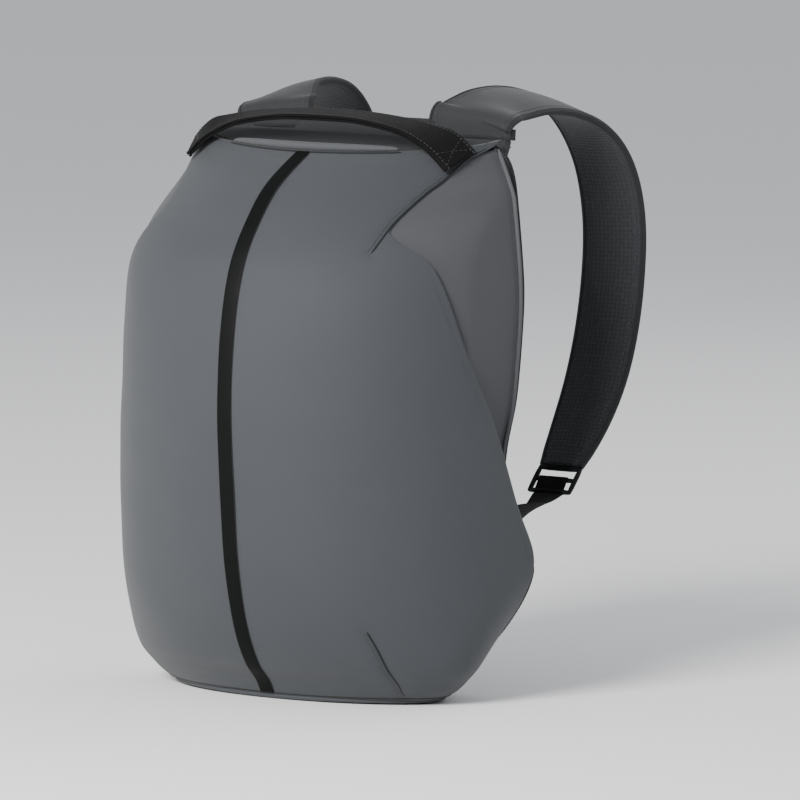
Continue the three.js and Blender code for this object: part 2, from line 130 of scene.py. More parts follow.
# A shoulder strap from the yoke to its lower end: across, back, up, width, cant in degrees.
STRAP = np.array(
    [
        (0.485, 0.021, 0.0, 0.95, 0),
        (0.5, 0.04, 0.018, 0.94, 3),
        (0.532, 0.107, 0.034, 0.93, 10),
        (0.566, 0.2, 0.046, 0.92, 18),
        (0.597, 0.381, 0.056, 0.9, 17),
        (0.634, 0.601, 0.033, 0.9, 15),
        (0.665, 0.793, -0.035, 0.9, 10),
        (0.69, 0.931, -0.148, 0.9, 5),
        (0.702, 1.0, -0.299, 0.9, 0),
        (0.705, 1.0, -0.457, 0.9, 0),
        (0.705, 0.958, -0.616, 0.9, 0),
        (0.705, 0.876, -0.759, 0.88, 0),
        (0.705, 0.766, -0.872, 0.82, 0),
        (0.705, 0.661, -0.955, 0.72, 0),
        (0.705, 0.596, -1.0, 0.62, 0),
    ]
)
STRAP_REACH = 182 * MM
STRAP_DROP = 265 * MM
STRAP_START = 0.43122
STRAP_FLARES = {-1: 6 * MM, 1: 17 * MM}

# The webbing from the back panel's edge to the strap's lock: along, rise in mm, turn in degrees.
WEBBING = np.array([(0.0, 0, 0), (0.14, 0, 2), (0.4, -2, 30), (0.7, -3, 66), (1.0, 0, 90)])
WEB_ANCHOR = 0.306
WEB_THICKNESS = 1.6 * MM
LOCK_LENGTH = 28 * MM

# Seams on the skin as pairs of a height share and a share of the way from the middle to the rim.
SIDE_SEAM = [(0.966, 0.87), (0.951, 0.74), (0.912, 0.635), (0.893, 0.575), (0.851, 0.47), (0.805, 0.4)]
LOW_DART = [(0.139, 0.38), (0.107, 0.405), (0.063, 0.43), (0.03, 0.468), (0.0175, 0.503)]
LEFT_SEAM = [(0.966, -0.87), (0.951, -0.79), (0.935, -0.74)]
SEAMS = (SIDE_SEAM, LOW_DART, LEFT_SEAM)

# Heights between which the right pocket's mouth leaves its own line, to run up to the side seam and along it.
MOUTH_LEAVES, MOUTH_CORNER, MOUTH_RETURNS = 0.775, 0.841, 0.951


def linear(code):
    """The linear colour of a six-digit screen colour."""
    parts = [int(code[i : i + 2], 16) / 255 for i in (1, 3, 5)]
    return tuple(((c + 0.055) / 1.055) ** 2.4 if c > 0.04045 else c / 12.92 for c in parts)


def colour_setting(name, description, code):
    """A colour that the user may change."""
    return FloatVectorProperty(
        name=name, description=description, subtype="COLOR", size=3, min=0, max=1, default=linear(code)
    )


def size_setting(name, description, default):
    """A length that the user may change."""
    return FloatProperty(
        name=name, description=description, unit="LENGTH", subtype="DISTANCE", min=0, default=default
    )


class BackpackSizes(PropertyGroup):
    """Sizes of the sewn details."""

    handle_width: size_setting("Handle width", "Width of the carry handle's webbing", 29 * MM)
    handle_thickness: size_setting("Handle thickness", "Thickness of the carry handle", 4.5 * MM)
    strap_width: size_setting("Strap width", "Full width of a shoulder strap", 60 * MM)
    strap_thickness: size_setting("Strap thickness", "Thickness at the strap's middle", 9 * MM)
    strip_width: size_setting("Strip width", "Width of the front's middle strip", 11.5 * MM)
    lip_half: size_setting("Lip half length", "Half the length of the rolled top lip", 71 * MM)
    web_width: size_setting("Webbing width", "Width of the adjuster webbing", 25 * MM)
    stitch_pitch: size_setting("Stitch pitch", "Distance between two stitches", 3.4 * MM)
    stitch_length: size_setting("Stitch length", "Visible length of a stitch", 2.5 * MM)
    tooth_pitch: size_setting("Tooth pitch", "Distance between two zip teeth", 2.2 * MM)
    view_width: size_setting("View width", "Width that the camera takes in", 0.6)


class BackpackColours(PropertyGroup):
    """Colours of the materials."""

    skin: colour_setting("Skin", "Smooth outer fabric", "#35383c")
    side: colour_setting("Sides", "Fabric of the recessed side walls", "#3d3e42")
    # Painted highlight: the lip is of the skin's grey fabric, and its colour is set lighter for the light
    # that its rolled edge catches.
    lip: colour_setting("Lip", "Rolled edge at the top", "#404245")
    # Painted highlight: the piping is a real cord, and its colour is set lighter than the side walls for the
    # light along their rear edges.
    piping: colour_setting("Piping", "Cord in the side seams", "#46484b")
    dark: colour_setting("Roof", "Dark fabric of the roof and the zip tape", "#131416")
    strip: colour_setting("Strip", "Rubbery strip on the front", "#020303")
    webbing: colour_setting("Webbing", "Handle and adjuster webbing", "#050506")
    strap: colour_setting("Straps", "Outer face of the shoulder straps", "#202224")
    binding: colour_setting("Binding", "Tape round the strap edges", "#1b1c1e")
    mesh: colour_setting("Spacer mesh", "Knitted mesh of the back and the straps", "#2a2c2f")
    thread: colour_setting("Thread", "Sewing thread of the grey fabric", "#35373a")
    plastic: colour_setting("Plastic", "Adjusters and zip teeth", "#131415")
    floor: colour_setting("Floor", "Studio floor", "#f3f3f3")


# Materials


class Value:
    """A socket of a material with the arithmetic that the finishes use."""

    def __init__(self, finish, socket):
        self.finish = finish
        self.socket = socket

    def calculate(self, operation, *values):
        """A Math node on these values."""
        return self.finish.node("ShaderNodeMath", {"operation": operation}, dict(enumerate(values)))

    def __add__(self, other):
        return self.calculate("ADD", self, other)

    def __rsub__(self, other):
        return self.calculate("SUBTRACT", other, self)

    def __mul__(self, other):
        return self.calculate("MULTIPLY", self, other)

    def __mod__(self, other):
        return self.calculate("FLOORED_MODULO", self, other)

    def __abs__(self):
        return self.calculate("ABSOLUTE", self)

    def wave(self):
        """The sine."""
        return self.calculate("SINE", self)

    def floor(self):
        """The whole number below."""
        return self.calculate("FLOOR", self)


class Finish:
    """A material, and the one way in which its nodes are made."""

    def __init__(self, name, constants):
        self.material = bpy.data.materials.new(name)
        self.material.use_nodes = True
        self.tree = self.material.node_tree
        self.tree.nodes.clear()
        output = self.tree.nodes.new("ShaderNodeOutputMaterial")
        self.shader = self.tree.nodes.new("ShaderNodeBsdfPrincipled")
        self.tree.links.new(self.shader.outputs[0], output.inputs[0])
        for socket, value in constants.items():
            self.shader.inputs[socket].default_value = value

    def node(self, kind, settings, inputs, output=0):
        """One node: its settings first, then the values or links of its sockets."""
        made = self.tree.nodes.new(kind)
        for name, value in settings.items():
            setattr(made, name, value)
        for key, value in inputs.items():
            if isinstance(value, Value):
                self.tree.links.new(value.socket, made.inputs[key])
            else:
                made.inputs[key].default_value = value
        return Value(self, made.outputs[output])

    def feed(self, socket, value):
        """Links a value to one of the shader's sockets."""
        self.tree.links.new(value.socket, self.shader.inputs[socket])

    def place(self, on_cloth):
        """The piece's own cloth map, or its place in the object."""
        if on_cloth:
            return self.node("ShaderNodeUVMap", {"uv_map": "cloth"}, {})
        return self.node("ShaderNodeTexCoord", {}, {}, 3)

    def parts(self, vector):
        """The three numbers of a vector."""
        split = self.tree.nodes.new("ShaderNodeSeparateXYZ")
        self.tree.links.new(vector.socket, split.inputs[0])
        return [Value(self, socket) for socket in split.outputs]

    def noise(self, vector, size, detail=2.0, roughness=0.5):
        """Noise between 0 and 1 whose largest spots are about size across."""
        inputs = {"Vector": vector, "Scale": 1 / size, "Detail": detail, "Roughness": roughness}
        return self.node("ShaderNodeTexNoise", {}, inputs)

    def mix(self, factor, first, second):
        """A colour between two colours."""
        return self.node("ShaderNodeMix", {"data_type": "RGBA"}, {0: factor, 6: first, 7: second}, 2)

    def range(self, value, low, high):
        """A value from 0 to 1 spread from low to high."""
        return value * (high - low) + low

    def weave(self, across, along, pitch):
        """The height of a plain weave of threads that lie pitch apart."""
        turn = math.pi / pitch
        warp = abs((across * turn).wave())
        weft = abs((along * turn).wave())
        over = ((across * (1 / pitch)).floor() + (along * (1 / pitch)).floor()) % 2
        return warp * over + weft * (1 - over)

    def bump(self, height, depth, strength=1.0):
        """Relief of that depth on the shader's normal."""
        inputs = {"Height": height, "Distance": depth, "Strength": strength}
        self.feed("Normal", self.node("ShaderNodeBump", {}, inputs))


def shade(colour, amount):
    """A colour made lighter or darker, as a socket takes it."""
    return tuple(min(c * amount, 1) for c in colour[:3]) + (1.0,)


def cloth_finish(name, colour, pitch, relief, sheen=0.12, rough=0.72, on_cloth=True, slub=0.14):
    """Woven fabric with uneven yarns, a heathered grain, a soft mottle and a faint bloom."""
    made = Finish(name, {"Sheen Weight": sheen, "Sheen Roughness": 0.45, "Specular IOR Level": 0.3})
    place = made.place(on_cloth)
    across, along, up = made.parts(place)
    if not on_cloth:
        along = up
    yarn = made.weave(across, along, pitch)
    streaks = made.node("ShaderNodeMapping", {}, {"Vector": place, "Scale": (1.0, 0.12, 0.12)})
    grain = made.noise(streaks, 1.6 * MM, 3.0, 0.6)
    heather = made.noise(place, 3.2 * MM, 4.0, 0.7)
    mottle = made.noise(place, 38 * MM, 3.0)
    tone = yarn * 0.25 + grain * 0.25 + heather * 0.3 + mottle * 0.2
    made.feed("Base Color", made.mix(tone, shade(colour, 1 - slub), shade(colour, 1 + slub)))
    made.feed("Roughness", made.range(heather, rough - 0.1, rough + 0.1))
    made.bump(yarn * 0.6 + grain * 0.4 + heather * 0.5, relief)
    return made.material


def webbing_finish(name, colour):
    """Flat woven webbing: ribs across its width and a chevron along it."""
    made = Finish(name, {"Sheen Weight": 0.03, "Sheen Roughness": 0.4, "Specular IOR Level": 0.12})
    place = made.place(True)
    across, along, _ = made.parts(place)
    cord = abs((across * (math.pi / (2.1 * MM))).wave())
    pick = abs(((along + across * 0.5) * (math.pi / (1.5 * MM))).wave())
    worn = made.noise(place, 9 * MM, 4.0)
    rib = cord * 0.55 + pick * 0.45
    tone = rib * 0.6 + worn * 0.4
    made.feed("Base Color", made.mix(tone, shade(colour, 0.7), shade(colour, 1.45)))
    made.feed("Roughness", made.range(worn, 0.62, 0.85))
    made.bump(rib, 0.45 * MM)
    return made.material


def spacer_finish(name, colour, on_cloth):
    """Knitted spacer mesh: rows of small open cells."""
    made = Finish(name, {"Sheen Weight": 0.12, "Sheen Roughness": 0.5, "Specular IOR Level": 0.25})
    place = made.place(on_cloth)
    across, along, up = made.parts(place)
    flat = made.node("ShaderNodeCombineXYZ", {}, {0: across, 1: along if on_cloth else up})
    grid = {"feature": "F1", "voronoi_dimensions": "2D"}
    spread = {"Vector": flat, "Scale": 1 / (3.4 * MM), "Randomness": 0.3}
    cells = made.node("ShaderNodeTexVoronoi", grid, spread)
    fuzz = made.noise(place, 0.9 * MM, 2.0)
    wall = cells * 0.8 + fuzz * 0.3
    made.feed("Base Color", made.mix(wall, shade(colour, 0.4), shade(colour, 1.5)))
    made.feed("Roughness", made.range(fuzz, 0.78, 0.95))
    made.bump(wall, 0.8 * MM)
    return made.material


def moulded_finish(name, colour, rough, grain_depth, metallic=0.0):
    """Moulded rubber, plastic or metal with a fine grain and rubbed patches."""
    made = Finish(name, {"Specular IOR Level": 0.12, "Metallic": metallic})
    place = made.place(False)
    grain = made.noise(place, 0.6 * MM, 2.0)
    rubbed = made.noise(place, 14 * MM, 3.0)
    made.feed("Base Color", made.mix(rubbed, shade(colour, 0.85), shade(colour, 1.2)))
    made.feed("Roughness", made.range(rubbed, rough - 0.1, rough + 0.12))
    made.bump(grain, grain_depth)
    return made.material


def thread_finish(name, colour):
    """Twisted sewing thread."""
    made = Finish(name, {"Sheen Weight": 0.4, "Sheen Roughness": 0.3})
    place = made.place(False)
    twist = made.noise(place, 0.5 * MM, 1.0)
    made.feed("Base Color", made.mix(twist, shade(colour, 0.75), shade(colour, 1.25)))
    made.feed("Roughness", made.range(twist, 0.5, 0.7))
    made.bump(twist, 0.1 * MM)
    return made.material


def floor_finish(name, colour):
    """A matt painted studio floor."""
    made = Finish(name, {"Specular IOR Level": 0.2})
    place = made.place(False)
    wash = made.noise(place, 0.9, 2.0)
    made.feed("Base Color", made.mix(wash, shade(colour, 0.985), shade(colour, 1.0)))
    made.feed("Roughness", made.range(wash, 0.8, 0.9))
    return made.material


def finish(name):
    """The named material, made when it is first asked for."""
    if name in bpy.data.materials:
        return bpy.data.materials[name]
    colours = bpy.context.scene.backpack_colours
    makers = {
        "skin_cloth": lambda n: cloth_finish(n, colours.skin, 0.62 * MM, 0.14 * MM, 0.1, 0.64),
        "side_cloth": lambda n: cloth_finish(n, colours.side, 0.8 * MM, 0.16 * MM),
        "lip_cloth_highlight": lambda n: cloth_finish(n, colours.lip, 0.62 * MM, 0.14 * MM),
        "piping_cloth_highlight": lambda n: cloth_finish(n, colours.piping, 0.5 * MM, 0.12 * MM),
        "dark_cloth": lambda n: cloth_finish(n, colours.dark, 0.8 * MM, 0.18 * MM, 0.03, 0.8, slub=0.25),
        # Painted shadow: the roof's dark colour made darker still, for the cords that draw the seam lines.
        "seam_shadow": lambda n: cloth_finish(n, shade(colours.dark, 0.7), 0.5 * MM, 0.1 * MM, 0.1),
        "strap_cloth": lambda n: cloth_finish(n, colours.strap, 0.85 * MM, 0.2 * MM),
        "binding_tape": lambda n: cloth_finish(n, colours.binding, 0.6 * MM, 0.2 * MM, 0.05),
        "strap_webbing": lambda n: webbing_finish(n, colours.webbing),
        "spacer_mesh": lambda n: spacer_finish(n, colours.mesh, False),
        "strap_mesh": lambda n: spacer_finish(n, colours.mesh, True),
        "strip_finish": lambda n: moulded_finish(n, colours.strip, 0.6, 0.05 * MM),
        "lock_plastic": lambda n: moulded_finish(n, colours.plastic, 0.42, 0.04 * MM),
        "slider_metal": lambda n: moulded_finish(n, shade(colours.plastic, 2.5), 0.35, 0.01 * MM, 0.9),
        "grey_thread": lambda n: thread_finish(n, colours.thread),
        "dark_thread": lambda n: thread_finish(n, shade(colours.dark, 1.3)),
        "studio_floor": lambda n: floor_finish(n, colours.floor),
    }
    return makers[name](name)


# Curves and sections


def steps_between(table):
    """Slopes of a smooth curve through the table's rows that never overshoots them."""
    x = table[:, 0]
    widths = np.diff(x)
    secants = np.diff(table, axis=0) / widths[:, None]
    slopes = np.zeros_like(table)
    slopes[0] = secants[0]
    slopes[-1] = secants[-1]
    for i in range(1, len(x) - 1):
        before, after = secants[i - 1], secants[i]
        one = 2 * widths[i] + widths[i - 1]
        two = widths[i] + 2 * widths[i - 1]
        same = before * after > 0
        safe_before = np.where(same, before, 1)
        safe_after = np.where(same, after, 1)
        slopes[i] = np.where(same, (one + two) / (one / safe_before + two / safe_after), 0)
    return slopes


BODY_SLOPES = steps_between(BODY)


def table_row(height):
    """The table's row at a height share of the front."""
    x = BODY[:, 0]
    k = int(np.clip(np.searchsorted(x, height, side="right") - 1, 0, len(x) - 2))
    width = x[k + 1] - x[k]
    t = (height - x[k]) / width
    row = (2 * t**3 - 3 * t**2 + 1) * BODY[k] + (t**3 - 2 * t**2 + t) * width * BODY_SLOPES[k]
    return row + (-2 * t**3 + 3 * t**2) * BODY[k + 1] + (t**3 - t**2) * width * BODY_SLOPES[k + 1]


def eased_rows(count=700, reach=15, start=0.12, full=0.22):
    """Rows of the body whose bends are eased above the lower part."""
    heights = np.linspace(0, TOP[FRONT], count)
    rows = np.array([table_row(h) for h in heights])
    weights = np.exp(-0.5 * (np.arange(-3 * reach, 3 * reach + 1) / reach) ** 2)
    weights /= weights.sum()
    low = 2 * rows[0] - rows[3 * reach : 0 : -1]
    high = 2 * rows[-1] - rows[-2 : -3 * reach - 2 : -1]
    padded = np.vstack([low, rows, high])
    eased = np.stack([np.convolve(padded[:, k], weights, "valid") for k in range(rows.shape[1])], axis=1)
    share = np.clip((heights - start) / (full - start), 0, 1)[:, None]
    return heights, rows + (eased - rows) * share


EASED_HEIGHTS, EASED = eased_rows()


def body_row(height):
    """The body's eased row at a height share of the front."""
    place = np.clip(height / EASED_HEIGHTS[-1], 0, 1) * (len(EASED) - 1)
    k = min(int(place), len(EASED) - 2)
    return EASED[k] + (EASED[k + 1] - EASED[k]) * (place - k)


def half_width(row, share, inset=0.0):
    """Half the body's width where the depth is that share of the row's own."""
    share = np.clip(share, 0, 1)
    curl = (row[HALF_SHARE] - row[TUCK]) * HALF * np.maximum(0, 1 - share / row[CURL]) ** 2
    return (row[HALF_SHARE] * HALF - inset) * (1 - share ** row[POWER]) ** (1 / row[POWER]) - curl


def skin_row(row, angles, inset=0.0):
    """Points of the skin at one row; an angle runs from 0 at the middle to a quarter turn."""
    share = np.maximum(np.cos(np.abs(angles)), 0) ** (2 / row[POWER])
    x = np.sign(angles) * half_width(row, share, inset)
    y = REAR - share * (row[DEPTH_SHARE] * DEPTH - inset)
    z = HEIGHT * (row[REAR_SHARE] + (row[FRONT] - row[REAR_SHARE]) * share)
    return np.stack([x, y, z], axis=-1)


def on_skin(path, lift=0.0):
    """Points on the skin, and its normals there, for pairs of height share and share of the way round."""
    points, normals = [], []
    for height, share in path:
        angle = share * math.pi / 2
        low, high = max(height - 0.002, 0), min(height + 0.002, TOP[FRONT])
        here = skin_row(body_row(height), np.array([angle - 0.004, angle, angle + 0.004]))
        up = skin_row(body_row(high), np.array([angle]))[0] - skin_row(body_row(low), np.array([angle]))[0]
        normal = np.cross(here[2] - here[0], up)
        normal /= np.linalg.norm(normal)
        points.append(here[1] + normal * lift)
        normals.append(normal)
    return np.array(points), np.array(normals)


def curved(table, samples):
    """Rows of a table read along a smooth curve through them."""
    table = np.asarray(table, float)
    last = len(table) - 1
    rows = []
    for t in np.linspace(0, last, samples):
        k = min(int(t), last - 1)
        f = t - k
        a, b, c, d = (table[min(max(n, 0), last)] for n in (k - 1, k, k + 1, k + 2))
        rows.append(b + 0.5 * f * (c - a + f * (2 * a - 5 * b + 4 * c - d + f * (3 * (b - c) + d - a))))
    return np.array(rows)


def alike(vector, places):
    """The same vector for each of the places."""
    return np.broadcast_to(np.array(vector, float), np.shape(places))


def unit(vectors):
    """The vectors at length one."""
    vectors = np.asarray(vectors, float)
    return vectors / np.maximum(np.linalg.norm(vectors, axis=-1, keepdims=True), 1e-12)


def run_length(points):
    """The length run along the points."""
    steps = np.linalg.norm(np.diff(points, axis=0), axis=1)
    return np.concatenate([[0], np.cumsum(steps)])


def even(points, spacing, closed=False):
    """The same path with its points about spacing apart."""
    points = np.asarray(points, float)
    if closed:
        points = np.vstack([points, points[:1]])
    run = run_length(points)
    count = max(int(round(run[-1] / spacing)), 2)
    at = np.linspace(0, run[-1], count + 1)
    found = np.stack([np.interp(at, run, points[:, k]) for k in range(points.shape[1])], axis=1)
    return found[:-1] if closed else found


def eased_path(points, rounds):
    """A path with its sharpest bends eased and its ends kept."""
    for _ in range(rounds):
        points = np.vstack([points[:1], (points[:-2] + 2 * points[1:-1] + points[2:]) / 4, points[-1:]])
    return points


def round_off(points, spacing, rounds):
    """A closed outline with its corners rounded."""
    points = even(points, spacing, True)
    for _ in range(rounds):
        points = (np.roll(points, 1, axis=0) + 2 * points + np.roll(points, -1, axis=0)) / 4
    return points


def flat_section(width, middle, edge, columns=14, turn=6):
    """A band's section, thicker at its middle than at its rounded edges."""
    radius = edge / 2
    u = np.linspace(-1, 1, columns)
    x = u * (width / 2 - radius)
    y = (middle + (edge - middle) * u * u) / 2
    arc = np.linspace(math.pi / 2, -math.pi / 2, turn + 2)[1:-1]
    right = np.stack([width / 2 - radius + radius * np.cos(arc), radius * np.sin(arc)], axis=1)
    left = -right
    top = np.stack([x, y], axis=1)
    bottom = np.stack([x[::-1], -y[::-1]], axis=1)
    return np.vstack([top, right, bottom, left])


def round_section(wide, high, count=12):
    """An oval section."""
    turn = np.linspace(0, 2 * math.pi, count, endpoint=False)
    return np.stack([wide * np.cos(turn), high * np.sin(turn)], axis=1)


def frames_along(places, sides):
    """Unit side vectors and normals of a band that runs through the places."""
    along = unit(np.gradient(places, axis=0))
    sides = sides - along * np.sum(sides * along, axis=1, keepdims=True)
    sides = unit(sides)
    return sides, unit(np.cross(along, sides))


def linked(name, data):
    """A new object in the scene."""
    made = bpy.data.objects.new(name, data)
    bpy.context.scene.collection.objects.link(made)
    return made


def evaluated(piece):
    """The piece's mesh as its modifiers make it."""
    graph = bpy.context.evaluated_depsgraph_get()
    return bpy.data.meshes.new_from_object(piece.evaluated_get(graph), depsgraph=graph)


class Form:
    """The points and faces of one piece while it is put together."""

    def __init__(self):
        self.points = []
        self.faces = []
        self.corners = []
        self.marks = []

    def face(self, indices, cloth, mark=0):
        """One face, its places in the cloth map, and the number of its material."""
        self.faces.append(tuple(indices))
        self.corners.extend(cloth)
        self.marks.append(mark)

    def net(self, rings, wrap=False, cloth=None, mark=0, caps=False):
        """A grid of points as faces. cloth has one column more where the rings are closed."""
        rings = np.asarray(rings, float)
        rows, columns = rings.shape[:2]
        start = len(self.points)
        self.points.extend(map(tuple, rings.reshape(-1, 3)))
        if cloth is None:
            cloth = np.zeros((rows, columns + 1, 2))
        marks = mark if callable(mark) else lambda r, c: mark
        for r in range(rows - 1):
            for c in range(columns if wrap else columns - 1):
                d = (c + 1) % columns
                low, high = start + r * columns, start + (r + 1) * columns
                places = (cloth[r][c], cloth[r][c + 1], cloth[r + 1][c + 1], cloth[r + 1][c])
                self.face((low + c, low + d, high + d, high + c), places, marks(r, c))
        if caps:
            for r in (0, rows - 1):
                low = start + r * columns
                self.face(range(low, low + columns), [cloth[r][c] for c in range(columns)], marks(0, 0))
        return start

    def sweep(self, places, sides, normals, sections, mark=0, closed=False):
        """A section carried along places, with its cloth map in metres."""
        places = np.asarray(places, float)
        sections = np.asarray(sections, float)
        if sections.ndim == 2:
            sections = np.repeat(sections[None], len(places), axis=0)
        rings = (
            places[:, None]
            + sections[:, :, :1] * np.asarray(sides)[:, None]
            + sections[:, :, 1:] * np.asarray(normals)[:, None]
        )
        if closed:
            rings = np.concatenate([rings, rings[:1]])
            places = np.vstack([places, places[:1]])
            sections = np.concatenate([sections, sections[:1]])
        along = run_length(places)
        cloth = []
        for section, run in zip(sections, along):
            around = run_length(np.vstack([section, section[:1]]))
            cloth.append(np.stack([around, np.full(len(around), run)], axis=1))
        self.net(rings, True, np.array(cloth), mark, caps=not closed)

    def cord(self, points, radius, hints, closed=False, squash=1.0):
        """A round cord through points; hints say which way its flat lies."""
        points = np.asarray(points, float)
        hints = np.broadcast_to(np.asarray(hints, float), points.shape)
        if closed:
            along = unit(np.roll(points, -1, axis=0) - np.roll(points, 1, axis=0))
        else:
            along = unit(np.gradient(points, axis=0))
        sides = unit(np.cross(along, hints))
        normals = unit(np.cross(sides, along))
        sections = np.repeat(round_section(radius, radius * squash, 10)[None], len(points), axis=0)
        if not closed:
            for i, share in enumerate((0.35, 0.8)):
                sections[i] *= share
                sections[-1 - i] *= share
        self.sweep(points, sides, normals, sections, closed=closed)

    def sew(self, name, finishes, slot, nodes=(), shade_angle=None):
        """The finished piece, riding on the body and standing for its nodes."""
        data = bpy.data.meshes.new(name)
        data.from_pydata(self.points, [], self.faces)
        layer = data.uv_layers.new(name="cloth")
        layer.data.foreach_set("uv", np.asarray(self.corners, float).ravel())
        data.polygons.foreach_set("material_index", self.marks)
        for material in finishes:
            data.materials.append(finish(material))
        shell = bmesh.new()
        shell.from_mesh(data)
        bmesh.ops.remove_doubles(shell, verts=shell.verts, dist=1e-6)
        bmesh.ops.recalc_face_normals(shell, faces=shell.faces)
        shell.to_mesh(data)
        shell.free()
        data.polygons.foreach_set("use_smooth", [True] * len(data.polygons))
        if shade_angle:
            data.set_sharp_from_angle(angle=math.radians(shade_angle))
        data.validate()
        return settle(linked(name, data), nodes)


def settle(piece, nodes=()):
    """The piece rides on the body and stands for its nodes."""
    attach(piece, "root")
    if nodes:
        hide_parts(*nodes)
    return piece


def cords(name, paths, radius, material, slot, closed=False, squash=1.0):
    """A piece of round cords; a path is its points and the way that its flat lies."""
    form = Form()
    for points, facing in paths:
        form.cord(points, radius, facing, closed, squash)
    form.sew(name, [material], slot)


# Rows of stitches and teeth


def repeat_tree(shape):
    """A tree that sets one small shape along paths: a thread's stitch or a zip's tooth."""
    name = f"rows_of_{shape}"
    if name in bpy.data.node_groups:
        return bpy.data.node_groups[name]
    tree = bpy.data.node_groups.new(name, "GeometryNodeTree")
    tree.interface.new_socket("Paths", in_out="INPUT", socket_type="NodeSocketGeometry")
    for label in ("Pitch", "Length", "Width", "Height"):
        tree.interface.new_socket(label, in_out="INPUT", socket_type="NodeSocketFloat")
    tree.interface.new_socket("Material", in_out="INPUT", socket_type="NodeSocketMaterial")
    tree.interface.new_socket("Rows", in_out="OUTPUT", socket_type="NodeSocketGeometry")
    given = tree.nodes.new("NodeGroupInput").outputs

    def add(kind, settings, inputs):
        made = tree.nodes.new(kind)
        for key, value in settings.items():
            setattr(made, key, value)
        for key, value in inputs.items():
            if isinstance(value, bpy.types.NodeSocket):
                tree.links.new(value, made.inputs[key])
            else:
                made.inputs[key].default_value = value
        return made.outputs[0] if made.outputs else None

    curve = add("GeometryNodeMeshToCurve", {}, {0: given["Paths"]})
    spaced = add("GeometryNodeResampleCurve", {"mode": "LENGTH"}, {"Curve": curve, "Length": given["Pitch"]})
    if shape == "stitch":
        single = add("GeometryNodeMeshIcoSphere", {}, {"Radius": 0.5, "Subdivisions": 2})
    else:
        single = add("GeometryNodeMeshCube", {}, {"Size": (1, 1, 1)})
    tangent = add("GeometryNodeInputTangent", {}, {})
    ahead = add("FunctionNodeAlignRotationToVector", {"axis": "X"}, {"Vector": tangent})
    upright = {"Rotation": ahead, "Vector": (0, 1, 0)}
    turned = add("FunctionNodeAlignRotationToVector", {"axis": "Y", "pivot_axis": "X"}, upright)
    scale = add("ShaderNodeCombineXYZ", {}, {0: given["Length"], 1: given["Width"], 2: given["Height"]})
    places = {"Points": spaced, "Instance": single, "Rotation": turned, "Scale": scale}
    copies = add("GeometryNodeInstanceOnPoints", {}, places)
    real = add("GeometryNodeRealizeInstances", {}, {0: copies})
    painted = add("GeometryNodeSetMaterial", {}, {"Geometry": real, "Material": given["Material"]})
    add("NodeGroupOutput", {}, {0: painted})
    return tree


def rows_of(shape, name, paths, material, pitch, size, closed=False):
    """Stitches or teeth along paths, as one plain mesh piece."""
    points, edges = [], []
    for path in paths:
        start = len(points)
        points.extend(map(tuple, path))
        edges.extend((start + i, start + i + 1) for i in range(len(path) - 1))
        if closed:
            edges.append((start + len(path) - 1, start))
    data = bpy.data.meshes.new(name + "_paths")
    data.from_pydata(points, edges, [])
    guide = linked(name + "_paths", data)
    tree = repeat_tree(shape)
    modifier = guide.modifiers.new("rows", "NODES")
    modifier.node_group = tree
    values = {
        "Pitch": pitch,
        "Length": size[0],
        "Width": size[1],
        "Height": size[2],
        "Material": finish(material),
    }
    for item in tree.interface.items_tree:
        if item.in_out == "INPUT" and item.name in values:
            modifier[item.identifier] = values[item.name]
    made = evaluated(guide)
    guide.modifiers.remove(modifier)
    bpy.data.objects.remove(guide)
    made.name = name
    made.polygons.foreach_set("use_smooth", [shape == "stitch"] * len(made.polygons))
    settle(linked(name, made))


def stitches(name, paths, material="grey_thread"):
    """Rows of stitches along paths."""
    sizes = bpy.context.scene.backpack_sizes
    size = (sizes.stitch_length, 0.62 * MM, 0.5 * MM)
    rows_of("stitch", name, paths, material, sizes.stitch_pitch, size)


def edge_rows(places, sides, normals, widths, inset, lift):
    """Rows for stitches along both edges of a band, on each of its faces."""
    return [
        even(places + sides * (widths * 0.5 - inset)[:, None] * sign + normals * face * lift, 3 * MM)
        for sign in (-1, 1)
        for face in (-1, 1)
    ]


def beside(points, normals, distance, lift):
    """A path moved sideways on its surface and lifted off it."""
    along = unit(np.gradient(points, axis=0))
    sides = unit(np.cross(normals, along))
    return points + sides * distance + normals * lift


# The body


def mouth_share(row, ahead=0.0):
    """How far round a pocket's mouth is, or the place that share of DEPTH ahead of it."""
    deep = (max(row[MOUTH], 0) + ahead) / row[DEPTH_SHARE]
    return math.acos(min(deep ** (row[POWER] / 2), 1)) / (math.pi / 2)


def skin_edge(row, height, side):
    """How far round the skin reaches on one side, as a share of the way from the middle to the rim."""
    share = mouth_share(row)
    if side < 0:
        return share
    seam = curved(SIDE_SEAM, 40)[::-1]
    line = np.interp(height, seam[:, 0], seam[:, 1])
    rise = min(max((height - MOUTH_LEAVES) / (MOUTH_CORNER - MOUTH_LEAVES), 0), 1) ** 2
    fall = min(max((TOP[FRONT] - height) / (TOP[FRONT] - MOUTH_RETURNS), 0), 1)
    return share + (line - share) * min(rise, fall)


